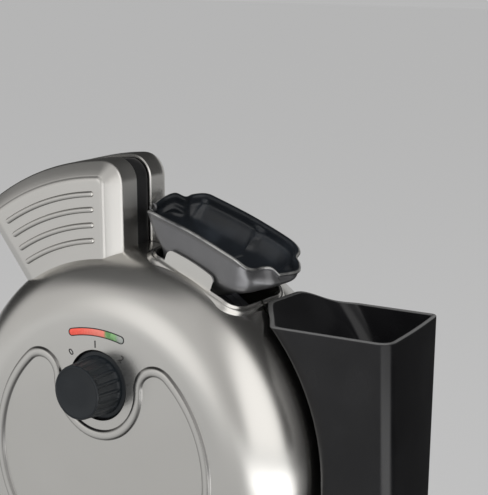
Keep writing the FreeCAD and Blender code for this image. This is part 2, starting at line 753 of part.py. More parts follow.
def heater(label, side):
    """A six-sided sheathed element bent almost to a ring, with both ends turned away from the plate."""
    body = new_body(f"{label}_body", half_place(side, -110 * side))
    middle = "-(cavity_depth + plate_wall + heater_tube + 0.05)"
    corners = [(f"heater_radius + {math.cos(turn):.5f} * heater_tube",
                f"{middle} + {math.sin(turn):.5f} * heater_tube")
               for turn in (math.radians(60 * corner) for corner in range(6))]
    bend = revolve(body, f"{label}_bend", draw(body, f"{label}_section", "XY_Plane", [corners]))
    bend.Angle = 320
    ends = []
    for order, turn in enumerate((math.radians(-70), math.radians(-110))):
        x, z = [worth("heater_radius") * part for part in (math.cos(turn), math.sin(turn))]
        near = worth("cavity_depth + plate_wall + 0.5")
        ends.append(primitive("Prism", f"{label}_end_{order}",
                              facing_front(-near if side < 0 else near + 12, 0, x, worth("axis_height") + z),
                              Circumradius="heater_tube", Height="12"))
    keep(union(label, [body] + ends), label)


def heat_shield(label, side):
    """A thin pan behind the plate, open towards it, with holes for the heater's ends."""
    body = new_body(f"{label}_body", half_place(side))
    outline = [("0", "-24"), ("84", "-24"), ("98.4", "-8"), ("108", "-8"), ("108", "-8 - shield_wall"),
               ("99", "-8 - shield_wall"), ("84.4", "-24 - shield_wall"), ("0", "-24 - shield_wall")]
    revolve(body, f"{label}_pan", draw(body, f"{label}_wall", "XY_Plane", [outline]))
    holes = [disc_loop("heater_tube + 0.8", f"{sign}heater_radius * 0.342020", "-heater_radius * 0.939693")
             for sign in ("", "-")]
    pocket(body, f"{label}_holes", draw(body, f"{label}_hole_plan", "XZ_Plane", holes, 20), "10", True)
    flange = draw(body, f"{label}_screw_plan", "XZ_Plane", screw_ring("screw_radius + 0.4"), 7)
    pocket(body, f"{label}_screw_holes", flange, "3", True)
    keep(body, label)


def at_knob(y=0.0):
    """Place something on the axis of the knob."""
    return facing_front(y, z=worth("axis_height + knob_height"))


def control_knob():
    body = new_body("knob_body", Placement(Vector(0, 0, worth("axis_height + knob_height")), Rotation()))
    back, face = "-(front_depth - knob_seat)", "-(front_depth + knob_reach)"
    skirt = "-(front_depth - knob_seat + skirt_depth)"
    outline = [("0", back), ("skirt_radius", back), ("skirt_radius", skirt), ("grip_base", skirt),
               ("grip_radius", face), ("grip_radius - cap_rim", face),
               ("grip_radius - cap_rim", f"{face} + cap_recess"), ("0", f"{face} + cap_recess")]
    revolve(body, "knob_turned", draw(body, "knob_outline", "XY_Plane", [outline]))
    notch = [("0", "grip_base - 1.3"), ("1.5", "grip_base + 1"), ("-1.5", "grip_base + 1")]
    flute = draw(body, "flute_plan", "XZ_Plane", [notch], worth("front_depth + 2.5"))
    cut = pocket(body, "flute", flute, "knob_reach - 5.5", True)
    ring = body.newObject("PartDesign::PolarPattern", "flutes")
    ring.Originals = [cut]
    ring.Axis = (plane_of(body, "Y_Axis"), [""])
    ring.Angle = 360
    ring.setExpression("Occurrences", bound("flute_count"))
    body.Tip = ring
    bore = draw(body, "knob_bore_plan", "XZ_Plane", [disc_loop("spindle_radius")], worth("front_depth - 6"))
    pocket(body, "knob_bore", bore, "16", True)
    keep(body, "control_knob")
    spindle = primitive("Cylinder", "spindle", at_knob(-38), Radius="spindle_radius", Height="23")
    keep(spindle, "thermostat_spindle")


def thermostat():
    """A round can with a bush in front of it, which the spindle turns in."""
    can = primitive("Cylinder", "thermostat_can", at_knob(-30), Radius="14", Height="12.5")
    bush = primitive("Cylinder", "thermostat_bush", at_knob(-42), Radius="bush_radius", Height="4.8")
    bore = primitive("Cylinder", "thermostat_bore", at_knob(-37), Radius="spindle_radius + pin_clearance",
                     Height="12")
    keep(minus("thermostat", union("thermostat_solid", [can, bush]), bore), "thermostat")


def at_lamp(y, x):
    return facing_front(y, x=x, z=worth("axis_height + lamp_height"))


LAMPS = (("heating_lamp", -8), ("ready_lamp", 12))


def dial_carrier():
    """A black tray behind the face that holds the thermostat bush and the two lamps."""
    wall = 2
    face, low = -worth("front_depth - shell_wall - 0.05"), worth("axis_height + knob_height - 26")
    tray = block("carrier_tray", upright(0, face, low), "70", "6", "64.5")
    well = block("carrier_well", upright(0, face - 1, low + wall), "66", "5", "60.5")
    flat = primitive("Cylinder", "carrier_outline", facing_front(0, z=worth("axis_height")),
                     Radius="body_radius - shoulder - 1", Height="front_depth")
    bush = primitive("Cylinder", "carrier_bush_hole", at_knob(-40), Radius="bush_radius + 0.1", Height="12")
    lamps = [primitive("Cylinder", f"{label}_hole", at_lamp(-40, x), Radius="lamp_radius + 0.1", Height="12")
             for label, x in LAMPS]
    holes = union("carrier_holes", [bush] + lamps)
    keep(minus("dial_carrier", minus("carrier_shell", overlap("carrier_form", [tray, flat]), well), holes),
         "dial_carrier")


def lamp(label, x):
    """A small lamp with a tapered tip just behind the indicator window."""
    stem = primitive("Cylinder", f"{label}_stem", at_lamp(-40, x), Radius="lamp_radius", Height="6.2")
    tip = primitive("Cone", f"{label}_tip", at_lamp(-46.2, x), Radius1="lamp_radius", Radius2="1.2", Height="2")
    keep(union(label, [stem, tip]), label)


def indicator_window():
    body = new_body("window_body", on_axis())
    lens = draw(body, "window_plan", "XZ_Plane", [window_loop("0")], worth("front_depth - 2.2"))
    pad(body, "window_lens", lens, "2.1")
    keep(body, "indicator_window")


def along_x(x, y, z):
    """Stand a primitive's own Z axis along X."""
    return Placement(Vector(x, y, z), Rotation(Vector(0, 1, 0), 90))


def hinge():
    """The bracket under the front half with a knuckle at each end, and the pin through the stand's lugs."""
    y, z = -worth("hinge_back"), worth("hinge_height")
    ends = (-worth("lug_inner") + 0.2, worth("lug_inner") - 14.2)
    saddle = primitive("Box", "hinge_saddle", upright(ends[0], y - 12, z + 1),
                       Length="2 * lug_inner - 0.4", Width="24", Height="30")
    knuckles = [primitive("Cylinder", f"knuckle_{order}", along_x(x, y, z), Radius="knuckle_radius",
                          Height="14")
                for order, x in enumerate(ends)]
    webs = [primitive("Box", f"knuckle_web_{order}", upright(x, y - 8, z), Length="14",
                      Width="2 * knuckle_radius", Height="16") for order, x in enumerate(ends)]
    bore = primitive("Cylinder", "hinge_bore", along_x(-80, y, z), Radius="pin_radius + pin_clearance",
                     Height="160")
    middle = primitive("Box", "saddle_relief", upright(ends[0] + 14, y - 13, z),
                       Length="2 * lug_inner - 28.4", Width="26", Height="5")
    solid = minus("hinge_relieved", union("hinge_solid", [saddle] + knuckles + webs), middle)
    keep(minus("hinge_bracket", minus("hinge_seated", solid, front_seat), bore), "hinge_bracket")
    pin = primitive("Cylinder", "pin_shank", along_x(-worth("lug_outer"), y, z), Radius="pin_radius",
                    Height="2 * lug_outer")
    heads = [primitive("Cylinder", f"pin_head_{order}", along_x(x, y, z), Radius="pin_radius + 1.6",
                       Height="1.6")
             for order, x in enumerate((-worth("lug_outer") - 1.65, worth("lug_outer") + 0.05))]
    necks = [primitive("Cylinder", f"pin_neck_{order}", along_x(x, y, z), Radius="pin_radius - 0.6",
                       Height="0.3")
             for order, x in enumerate((-worth("lug_outer") - 0.2, worth("lug_outer") - 0.1))]
    keep(union("hinge_pin", [pin] + heads + necks), "hinge_pin")


def plinth_loop(inset):
    """Plan of the stand with round corners, as a loop of lines and quarter arcs."""
    left, right = f"-(base_left - ({inset}))", f"(base_right - ({inset}))"
    near, back = f"-(base_front - ({inset}))", f"(base_rear - ({inset}))"
    r = f"(30 - ({inset}))"
    return [
        (f"{left} + {r}", near), (f"{right} - {r}", near, f"{right} - {r}", f"{near} + {r}", "ccw"),
        (right, f"{near} + {r}"), (right, f"{back} - {r}", f"{right} - {r}", f"{back} - {r}", "ccw"),
        (f"{right} - {r}", back), (f"{left} + {r}", back, f"{left} + {r}", f"{back} - {r}", "ccw"),
        (left, f"{back} - {r}"), (left, f"{near} + {r}", f"{left} + {r}", f"{near} + {r}", "ccw"),
    ]


def saddle_loop(inset):
    """Front view of the block under the rear half, narrowing upwards."""
    low = "foot_height + 3"
    return [(f"-(saddle_half + 10 - {inset})", low), (f"saddle_half + 10 - {inset}", low),
            (f"saddle_half - {inset}", "saddle_top"), (f"-(saddle_half - {inset})", "saddle_top")]


def base_housing():
    """The moulded stand: a plinth, a hollow saddle under the rear half, and two lugs for the hinge pin."""
    body = new_body("base_body")
    plan = draw(body, "plinth_plan", "XY_Plane", [plinth_loop("0")], worth("foot_height"))
    pad(body, "plinth", plan, "base_top - foot_height")
    doc.recompute()
    top = worth("base_top")
    rim = [f"Edge{i}" for i, edge in enumerate(body.Shape.Edges, start=1)
           if abs(edge.BoundBox.ZMin - top) < 0.01 and abs(edge.BoundBox.ZMax - top) < 0.01]
    flat = body.Tip
    soft = body.newObject("PartDesign::Chamfer", "plinth_edge")
    soft.Base = (flat, rim)
    soft.Size = 4
    block_plan = draw(body, "saddle_view", "XZ_Plane", [saddle_loop("0")], -worth("saddle_rear"))
    pad(body, "saddle_block", block_plan, "saddle_rear - saddle_front")
    y, z = "-hinge_back", "hinge_height"
    for order, near in enumerate(("lug_inner", "-lug_outer")):
        view = draw(body, f"lug_view_{order}", "YZ_Plane",
                    [[(f"{y} + knuckle_radius", "base_top - 1"), (f"{y} + knuckle_radius", z, y, z, "ccw"),
                      (f"{y} - knuckle_radius", z), (f"{y} - knuckle_radius - 6", "base_top - 1")]],
                    worth(near))
        pad(body, f"lug_{order}", view, "lug_outer - lug_inner")
    under = draw(body, "hollow_plan", "XY_Plane", [plinth_loop("base_wall")], worth("foot_height"))
    pocket(body, "plinth_hollow", under, "base_top - foot_height - base_wall", True)
    inner = new_body("saddle_hollow")
    hollow_view = draw(inner, "saddle_hollow_view", "XZ_Plane", [saddle_loop("base_wall")],
                       -worth("saddle_rear - base_wall"))
    pad(inner, "saddle_core", hollow_view, "saddle_rear - saddle_front - 2 * base_wall")
    wall_space = plain_space("saddle_wall_space", "rear_depth", 1, "base_wall + fit_gap")
    posts = [primitive("Cylinder", f"cover_post_{order}", upright(x, y, worth("foot_height + 2.3")),
                       Radius="4.5", Height="base_top - foot_height - 4")
             for order, (x, y) in enumerate(cover_screw_points())]
    solid = union("base_with_posts", [minus("base_seated", body, rear_seat)] + posts)
    cuts = base_cuts(minus("saddle_core_seated", inner, wall_space))
    keep(minus("base_housing", solid, union("base_cuts", cuts)), "base_housing")


def base_cuts(core):
    """Everything taken out of the stand: the room in the saddle, and the holes for pin, gland and screws."""
    bore = primitive("Cylinder", "lug_bore", along_x(-80, -worth("hinge_back"), worth("hinge_height")),
                     Radius="pin_radius", Height="160")
    cable = primitive("Cylinder", "gland_hole", at_gland(1), Radius="gland_radius + 0.05", Height="6")
    tapped = [primitive("Cylinder", f"cover_post_hole_{order}", upright(x, y, 0), Radius="screw_radius + 0.05",
                        Height="13") for order, (x, y) in enumerate(cover_screw_points())]
    through = [primitive("Cylinder", f"caddy_screw_hole_{order}", upright(x, y, 15),
                         Radius="screw_radius + 0.05", Height="12")
               for order, (x, y) in enumerate(CADDY_SCREWS)]
    return [bore, core, cable] + tapped + through


def at_gland(behind):
    """Place something on the axis of the cord gland, from a little behind the rear wall of the stand."""
    return facing_front(worth("base_rear") + behind, x=worth("gland_x"), z=worth("gland_height"))


def cover_screw_points():
    """Places of the cover's screws, beside the feet."""
    return [(x + (22 if x < 0 else -22), y) for x, y in corner_points(20)]


def corner_points(inset):
    """The four corner places of the stand, for feet and screws."""
    left, right = -worth("base_left") + inset, worth("base_right") - inset
    near, back = -worth("base_front") + inset, worth("base_rear") - inset
    return [(left, near), (right, near), (left, back), (right, back)]


def base_cover():
    """The flat cover under the stand with its screws."""
    body = new_body("cover_body")
    plan = draw(body, "cover_plan", "XY_Plane", [plinth_loop("base_wall + 0.3")], worth("foot_height"))
    pad(body, "cover_plate", plan, "2.2")
    holes = [primitive("Cylinder", f"cover_hole_{order}", upright(x, y, 0), Radius="screw_radius + 0.3",
                       Height="10") for order, (x, y) in enumerate(cover_screw_points())]
    keep(minus("base_bottom_cover", body, union("cover_holes", holes)), "base_bottom_cover")
    under = worth("foot_height") - 0.05
    screws = [piece for order, (x, y) in enumerate(cover_screw_points())
              for piece in pan_screw(f"cover_screw_{order}", upright(x, y, under), "8.5")]
    keep(union("cover_screws", screws), "cover_screws")


def caddy_fixings():
    """Two screws that hold the caddy from inside the stand."""
    under = worth("base_top - base_wall") - 0.05
    screws = [piece for order, (x, y) in enumerate(CADDY_SCREWS)
              for piece in pan_screw(f"caddy_screw_{order}", upright(x, y, under), "4.9")]
    keep(union("caddy_screws", screws), "caddy_screws")


def rubber_parts():
    """Four feet under the stand, and two stops on it that the open front half rests on."""
    feet = [primitive("Cone", f"foot_{order}", upright(x, y, 0), Radius1="8.5", Radius2="9.5",
                      Height="foot_height - 0.02") for order, (x, y) in enumerate(corner_points(20))]
    keep(union("rubber_feet", feet), "rubber_feet")
    pads = [primitive("Cone", f"stop_{order}", upright(x, -76, worth("base_top") + 0.02), Radius1="7",
                      Radius2="6", Height="pad_top - base_top - 0.02") for order, x in enumerate((-50, 50))]
    keep(union("stop_pads", pads), "stop_pads")


def cord_gland():
    """A rubber bush in the rear wall that the mains lead comes out of; the lead itself is left out."""
    inner = primitive("Cylinder", "gland_inner", at_gland(1), Radius="gland_radius", Height="6")
    flange = primitive("Cylinder", "gland_flange", at_gland(3), Radius="gland_radius + 2", Height="2.95")
    bore = primitive("Cylinder", "gland_bore", at_gland(4), Radius="3.3", Height="24")
    keep(minus("cord_gland", union("gland_solid", [inner, flange]), bore), "cord_gland")


def caddy_space(name, grow):
    """The room the caddy leaves for the disc: a rounded disc edge, carried straight down below its middle."""
    body = new_body(name, on_axis())
    radius, start, bend = f"(caddy_inner + {grow})", "29", f"(38.5 + {grow})"
    reach = f"{start} + 0.87 * {bend}"
    inner = f"{radius} - {bend} + {bend} * 0.493052"
    bends = [(f"{radius} - {bend} + {math.cos(turn):.5f} * {bend}", f"{start} + {math.sin(turn):.5f} * {bend}")
             for turn in (math.radians(20 * step) for step in range(4))]
    outline = [("0", "-60"), (radius, "-60"), *bends, (inner, reach), (inner, "90"), ("0", "90")]
    revolve(body, f"{name}_turned", draw(body, f"{name}_outline", "XY_Plane", [outline]))
    pad(body, f"{name}_drop", draw(body, f"{name}_drop_outline", "XY_Plane", [outline]), "170", True)
    return body


def caddy_loop(inset, rear_right):
    """Plan of the caddy at one height: flat front and back, and a right side that turns in to the rear."""
    front, back, right = f"-(caddy_front - {inset})", f"(caddy_rear - {inset})", f"(caddy_right - {inset})"
    far = f"({rear_right} - {inset})"
    bend = f"{right} - caddy_corner"
    return [("30", front), (bend, front, bend, f"{front} + caddy_corner", "ccw"),
            (right, f"{front} + caddy_corner"), (far, back), ("30", back)]


def caddy_block(name, inset, low, high):
    body = new_body(name)
    rows = []
    for order, (rear_right, height) in enumerate((("146.8", low), ("156.8", high))):
        plan = [caddy_loop(inset, rear_right)]
        rows.append(draw(body, f"{name}_plan_{order}", "XY_Plane", plan, worth(height)))
    loft = body.newObject("PartDesign::AdditiveLoft", f"{name}_loft")
    loft.Profile = rows[0]
    loft.Sections = [rows[1]]
    return body


def cup_caddy():
    """An open box that hugs the right side of the rear half, with its rim rising towards the disc."""
    outer = minus("caddy_outer", caddy_block("caddy_form", "0", "caddy_floor", "caddy_top + 8"),
                  caddy_space("caddy_clear", "0"))
    hollow = caddy_block("caddy_hollow", "caddy_wall", "caddy_floor + caddy_wall", "caddy_top + 9")
    inner = minus("caddy_inner_form", hollow, caddy_space("caddy_wall_clear", "caddy_wall"))
    top = primitive("Box", "caddy_top_trim", None, Length="200", Width="100", Height="40")
    corner = Placement(Vector(worth("caddy_right"), -20, worth("caddy_top")), Rotation(Vector(0, 1, 0), 3))
    top.Placement = corner.multiply(upright(-190, 0, 0))
    holes = [primitive("Cylinder", f"caddy_floor_hole_{order}", upright(x, y, 20), Radius="screw_radius + 0.05",
                       Height="10") for order, (x, y) in enumerate(CADDY_SCREWS)]
    walls = minus("caddy_walls", outer, inner)
    keep(minus("caddy_trimmed", walls, union("caddy_cuts", [top] + holes)), "cup_caddy")


def at_latch(x, y, z):
    """Place something at the left end of the handle: X along the handle, Y back, Z out from the disc axis."""
    turn = worth("handle_start + handle_sweep - 90")
    return on_axis(0, -turn).multiply(upright(x, y, z))


def latch():
    """A bracket with two lugs on the rear half, a pin, the hasp that swings on it, and a catch at the front."""
    pin_x, pin_y, lug = -4.7, 7, 2.6
    top_lug = worth("hasp_low + hasp_width") + 0.2
    plate = primitive("Box", "latch_plate", at_latch(-1.5, 1.5, worth("latch_low")), Length="1.45", Width="14",
                      Height="18")
    lugs = [primitive("Box", f"latch_lug_{order}", at_latch(-8, 3, z), Length="7", Width="8", Height=lug)
            for order, z in enumerate((worth("latch_low"), top_lug))]
    bore = primitive("Cylinder", "latch_lug_bore", at_latch(pin_x, pin_y, 130), Radius="latch_bore",
                     Height="40")
    keep(minus("latch_bracket", union("latch_bracket_solid", [plate] + lugs), bore), "latch_bracket")
    pin_low = worth("latch_low") - 0.4
    keep(primitive("Cylinder", "latch_pin_shank", at_latch(pin_x, pin_y, pin_low), Radius="latch_bore",
                   Height="18.8"), "latch_pin")
    low = worth("hasp_low")
    knuckle = primitive("Cylinder", "hasp_knuckle", at_latch(pin_x, pin_y, low), Radius="2 * latch_bore",
                        Height="hasp_width")
    arm = primitive("Box", "hasp_arm", at_latch(-6.2, pin_y, low), Length="3", Width="21", Height="hasp_width")
    nose = primitive("Box", "hasp_nose", at_latch(-8.9, 24.6, low), Length="3", Width="3.4",
                     Height="hasp_width")
    hole = primitive("Cylinder", "hasp_bore", at_latch(pin_x, pin_y, 130), Radius="latch_bore + pin_clearance",
                     Height="40")
    keep(minus("latch_hasp", union("hasp_solid", [knuckle, arm, nose]), hole), "latch_hasp")
    keep(primitive("Box", "catch_tooth", at_latch(-2.6, -9.5, 143), Length="4", Width="4.5", Height="10"),
         "latch_catch")


def rear_wiring():
    """The terminal block and the thermal fuse inside the rear half."""
    height = worth("axis_height")
    base = primitive("Box", "terminal_body", upright(-20, 44, height - 40), Length="40", Width="12",
                     Height="14")
    wells = [primitive("Cylinder", f"terminal_well_{order}", upright(x, 50, height - 33), Radius="3",
                       Height="10") for order, x in enumerate((-13, 0, 13))]
    keep(minus("terminal_block", base, union("terminal_wells", wells)), "terminal_block")
    fuse = primitive("Cylinder", "fuse_body", along_x(-8, 19.1, height + 20), Radius="3", Height="16")
    keep(fuse, "thermal_fuse")


front_shell()
rear_shell()
front_handle()
rear_handle()
for half, facing in (("front", -1), ("rear", 1)):
    funnel_half(f"{half}_funnel", facing, worth("funnel_depth" if facing < 0 else "rear_funnel_depth"))
    waffle_plate(f"{half}_waffle_plate", facing)
    heater(f"{half}_heating_element", facing)
    heat_shield(f"{half}_heat_shield", facing)
    plate_screws(f"plate_screws_{half}", facing)
control_knob()
thermostat()
dial_carrier()
for lamp_name, lamp_x in LAMPS:
    lamp(lamp_name, lamp_x)
indicator_window()
hinge()
base_housing()
base_cover()
caddy_fixings()
rubber_parts()
cord_gland()
cup_caddy()
latch()
rear_wiring()

doc.recompute()
failed = [item.Name for item in doc.Objects if {"Invalid", "Error"} & set(item.State)]
empty = [piece.Label for piece in parts if piece.Shape.isNull() or not piece.Shape.isValid()]
if failed or empty:
    raise RuntimeError(f"failed: {failed}, empty or invalid: {empty}")
os.makedirs("parts", exist_ok=True)
to_footprint = Placement(Vector(-worth("origin_x"), -worth("origin_y"), 0), Rotation())
for piece in parts:
    piece.Placement = to_footprint.multiply(piece.Placement)
doc.recompute()
for piece in parts:
    piece.Shape.exportStep(f"parts/{piece.Label}.step")
    print(piece.Label, round(piece.Shape.Volume), len(piece.Shape.Solids))
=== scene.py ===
import math

import bmesh
import bpy
import numpy as np
from mathutils import Matrix, Vector


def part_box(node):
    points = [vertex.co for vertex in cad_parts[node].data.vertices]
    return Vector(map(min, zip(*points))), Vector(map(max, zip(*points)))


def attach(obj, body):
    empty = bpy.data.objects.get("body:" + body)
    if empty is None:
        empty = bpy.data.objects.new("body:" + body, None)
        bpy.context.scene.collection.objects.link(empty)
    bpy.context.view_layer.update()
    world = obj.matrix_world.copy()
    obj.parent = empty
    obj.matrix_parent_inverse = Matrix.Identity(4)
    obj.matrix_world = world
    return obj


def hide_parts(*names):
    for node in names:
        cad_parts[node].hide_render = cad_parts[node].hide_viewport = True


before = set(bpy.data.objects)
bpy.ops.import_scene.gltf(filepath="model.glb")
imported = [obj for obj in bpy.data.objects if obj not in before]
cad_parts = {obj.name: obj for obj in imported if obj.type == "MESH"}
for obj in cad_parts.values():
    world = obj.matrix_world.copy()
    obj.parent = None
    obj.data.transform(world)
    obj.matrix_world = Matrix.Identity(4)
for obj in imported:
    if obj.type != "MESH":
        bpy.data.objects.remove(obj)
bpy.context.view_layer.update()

# The camera stands at the right of the machine, a little above it, and looks down at the funnel.
# Its place comes from the circles of the shell and the knob in the photograph.
PHOTO_HEIGHT = 495
FOCAL_PIXELS = 1757.3
CAMERA_PLACE = Vector((0.5884, -0.7814, 0.5044))
CAMERA_TARGET = Vector((0.03405, 0.0145, 0.3078))
CAMERA_ROLL = math.radians(-0.63)

lens = bpy.data.cameras.new("camera")
lens.sensor_fit = "VERTICAL"
lens.sensor_height = 36
lens.lens = FOCAL_PIXELS / PHOTO_HEIGHT * lens.sensor_height
camera = bpy.data.objects.new("camera", lens)
bpy.context.scene.collection.objects.link(camera)
back = (CAMERA_PLACE - CAMERA_TARGET).normalized()
level = Vector((0, 0, 1)).cross(back).normalized()
right = level * math.cos(CAMERA_ROLL) + back.cross(level) * math.sin(CAMERA_ROLL)
camera.matrix_world = Matrix.Translation(CAMERA_PLACE) @ Matrix((right, back.cross(right), back)).transposed().to_4x4()
bpy.context.scene.camera = camera
bpy.context.scene.view_settings.view_transform = "Standard"


# The studio is a pale floor in an even grey room. Polished things see light panels at the front and right, a dark
# patch overhead and a darker wall behind, which draws the dark band along the top of the steel shells.
BACKDROP_GREY = 0.479


class Socket:
    """A shader socket that sums can be written with: 1 - mask * 0.3 adds the Math nodes it needs."""

    def __init__(self, tree, link=None):
        self.tree = tree
        self.link = link

    def node(self, kind, settings=None, values=None, out=0):
        """Add a node: settings are set first, then the values or links of its sockets."""
        made = self.tree.nodes.new(kind)
        for key, value in (settings or {}).items():
            if key == "stops":
                ramp = made.color_ramp
                while len(ramp.elements) < len(value):
                    ramp.elements.new(0.5)
                for element, (position, colour) in zip(ramp.elements, value):
                    element.position = position
                    element.color = colour
            else:
                setattr(made, key, value)
        for key, value in (values or {}).items():
            if isinstance(value, Socket):
                self.tree.links.new(value.link, made.inputs[key])
            else:
                made.inputs[key].default_value = value
        return Socket(self.tree, made.outputs[out] if made.outputs else None)

    def math(self, operation, *terms):
        return self.node("ShaderNodeMath", {"operation": operation}, dict(enumerate(terms)))

    def __add__(self, other):
        return self.math("ADD", self, other)

    __radd__ = __add__

    def __mul__(self, other):
        return self.math("MULTIPLY", self, other)

    __rmul__ = __mul__

    def __sub__(self, other):
        return self.math("SUBTRACT", self, other)

    def __rsub__(self, other):
        return self.math("SUBTRACT", other, self)

    def between(self, low, high):
        """0 below low, 1 above high, and a soft step between them."""
        settings = {"interpolation_type": "SMOOTHSTEP"}
        return self.node("ShaderNodeMapRange", settings, {"Value": self, "From Min": low, "From Max": high})

    def blend(self, first, second):
        """The colour first where this is 0 and second where it is 1."""
        return self.node("ShaderNodeMix", {"data_type": "RGBA"}, {0: self, 6: first, 7: second}, 2)


def grey(level, warm=0.0):
    """An opaque grey, a little warmer or cooler."""
    return (level * (1 + warm), level, level * (1 - warm), 1)


world = bpy.data.worlds.new("studio")
world.use_nodes = True
bpy.context.scene.world = world
sky = world.node_tree
sky.nodes.clear()
looking = Socket(sky).node("ShaderNodeTexCoord", out="Generated")


def facing(x, y, z, near, far):
    """1 where a direction points within an angle near of (x, y, z), and 0 beyond the angle far."""
    length = math.sqrt(x * x + y * y + z * z)
    along = looking.node("ShaderNodeVectorMath", {"operation": "DOT_PRODUCT"},
                         {0: looking, 1: (x / length, y / length, z / length)}, "Value")
    return along.between(math.cos(math.radians(far)), math.cos(math.radians(near)))


split = looking.node("ShaderNodeSeparateXYZ", values={0: looking})
across, ahead, height = [Socket(sky, split.link.node.outputs[i]) for i in range(3)]
behind = ahead.between(-0.14, 0.08)
overhead = (height - 0.6 * across).between(0.84, 1.06)
room = grey(0.5, 0.01)
room = across.between(0.12, 0.3).blend(room, grey(0.40, 0.01))
room = facing(-0.33, -0.92, 0.2, 8, 26).blend(room, grey(0.92, 0.01))
room = across.between(0.42, 0.62).blend(room, grey(1.08, 0.012))
room = overhead.blend(room, grey(0.1))
room = behind.blend(room, grey(0.035))
room = facing(0, 1, 0, 20, 34).blend(room, grey(0.42))
rays = Socket(sky).node("ShaderNodeLightPath", out="Is Camera Ray")
seen = rays.blend(room, grey(BACKDROP_GREY))
shine = seen.node("ShaderNodeBackground", values={"Color": seen})
shine.node("ShaderNodeOutputWorld", values={"Surface": shine})


def lamp(name, place, target, size, watts):
    """A square lamp that points at the machine and lights only matt surfaces: steel mirrors the room instead."""
    light = bpy.data.lights.new(name, "AREA")
    light.shape = "RECTANGLE"
    light.size, light.size_y = size
    light.energy = watts
    made = bpy.data.objects.new(name, light)
    bpy.context.scene.collection.objects.link(made)
    made.location = place
    made.visible_glossy = False
    made.rotation_euler = (Vector(target) - Vector(place)).to_track_quat("-Z", "Y").to_euler()
    return made


lamp("top_lamp", (-0.35, -0.35, 1.75), (0, 0, 0.15), (1.3, 1.0), 14)
lamp("right_lamp", (1.5, -0.95, 0.75), (0, 0, 0.2), (0.7, 1.1), 7)
lamp("left_lamp", (-1.3, -1.5, 0.7), (0, 0, 0.2), (1.0, 1.2), 8)

floor_mesh = bpy.data.meshes.new("floor")
FLOOR_HALF = 6
floor_mesh.from_pydata([(x * FLOOR_HALF, y * FLOOR_HALF, 0) for x, y in ((-1, -1), (1, -1), (1, 1), (-1, 1))],
                       [], [(0, 1, 2, 3)])
floor = bpy.data.objects.new("floor", floor_mesh)
bpy.context.scene.collection.objects.link(floor)
floor_paint = bpy.data.materials.new("floor")
floor_paint.use_nodes = True
floor_paint.node_tree.nodes.clear()
start = Socket(floor_paint.node_tree)
matt = start.node("ShaderNodeBsdfDiffuse", values={"Color": grey(0.5)})
FLOOR_GLOW = 0.637
flat = start.node("ShaderNodeEmission", values={"Color": grey(FLOOR_GLOW)})
camera_ray = start.node("ShaderNodeLightPath", out="Is Camera Ray")
glossy_ray = start.node("ShaderNodeLightPath", out="Is Glossy Ray")
on_floor = start.node("ShaderNodeTexCoord", out="Object")
distance = start.node("ShaderNodeVectorMath", {"operation": "LENGTH"}, {0: on_floor}, "Value")
sideways = start.node("ShaderNodeSeparateXYZ", values={0: on_floor}, out="X")
depth = start.node("ShaderNodeSeparateXYZ", values={0: on_floor}, out="Y")
unlit = distance.between(1.4, 1.95).blend(grey(0.035), grey(0.34))
unlit = sideways.between(-0.2, 0.08).blend(grey(0.42), unlit)
lit = distance.between(0.8, 1.5).blend(grey(0.46), grey(0.58))
lit = sideways.between(0.2, 0.5).blend(lit, grey(0.75))
beside_it = sideways.between(0.25, 0.45) * (1 - distance.between(0.85, 1.15))
lit = beside_it.blend(lit, grey(2.2))
mirrored = depth.between(-0.1, 0.3).blend(lit, unlit)
mirrored = start.node("ShaderNodeEmission", values={"Color": mirrored})
mixed = start.node("ShaderNodeMixShader", values={0: camera_ray * 0.65, 1: matt, 2: flat})
mixed = start.node("ShaderNodeMixShader", values={0: glossy_ray, 1: mixed, 2: mirrored})
start.node("ShaderNodeOutputMaterial", values={"Surface": mixed})
floor_mesh.materials.append(floor_paint)


# Front shell: a dome pressed from 1 mm steel sheet in a satin champagne finish, with a wave-shaped bead round the
# dial, holes for the dial and the lamps' window, and a rolled cut-out with a stand-up tab for the batter funnel.
# Every piece is drawn in millimetres about the axis of the round shells: X right, Y back from the parting plane.
shell_low, shell_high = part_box("front_shell")
SHELL_RADIUS = (shell_high.x - shell_low.x) * 500
SHELL_AXIS = np.array([(shell_low.x + shell_high.x) * 500, shell_high.y * 1000 + 1, shell_low.z * 1000 + SHELL_RADIUS])
SHOULDER = 37.4
FLAT_RADIUS = SHELL_RADIUS - SHOULDER
FRONT_DEPTH = 51.4
REAR_DEPTH = 62
PARTING = 1
CUTOUT_TURN = 24.5
CUTOUT_LEFT = 33
CUTOUT_RIGHT = 31.2
CUTOUT_DEPTH = 24.5


def arc(centre, radius, start_angle, end_angle, count):
    """Points of an arc in a plane, angles in degrees counter-clockwise from the first axis."""
    angle = np.radians(np.linspace(start_angle, end_angle, count))
    return np.stack([centre[0] + radius * np.cos(angle), centre[1] + radius * np.sin(angle)], axis=-1)


def turned(t, y, rho, degrees):
    """Points given along (t), back (y) and out from the axis (rho), turned clockwise from the top of the disc."""
    angle = math.radians(degrees)
    t, y, rho = np.broadcast_arrays(t, y, rho)
    return np.stack([t * math.cos(angle) + rho * math.sin(angle), y,
                     rho * math.cos(angle) - t * math.sin(angle)], axis=-1)


def net(points, around=False, along=False):
    """A grid of points, rows first, with a quad between each four neighbours.

    around joins the last column to the first, and along the last row to the first."""
    rows, columns = points.shape[:2]
    index = np.arange(rows * columns).reshape(rows, columns)
    if around:
        index = np.concatenate([index, index[:, :1]], axis=1)
    if along:
        index = np.concatenate([index, index[:1]], axis=0)
    quads = np.stack([index[:-1, :-1], index[:-1, 1:], index[1:, 1:], index[1:, :-1]], axis=-1)
    return points.reshape(-1, 3), quads.reshape(-1, 4).tolist()


def with_ends(part, *loops):
    """The same net with each loop of point numbers closed by one flat face."""
    points, faces = part
    return points, faces + [list(map(int, loop)) for loop in loops]


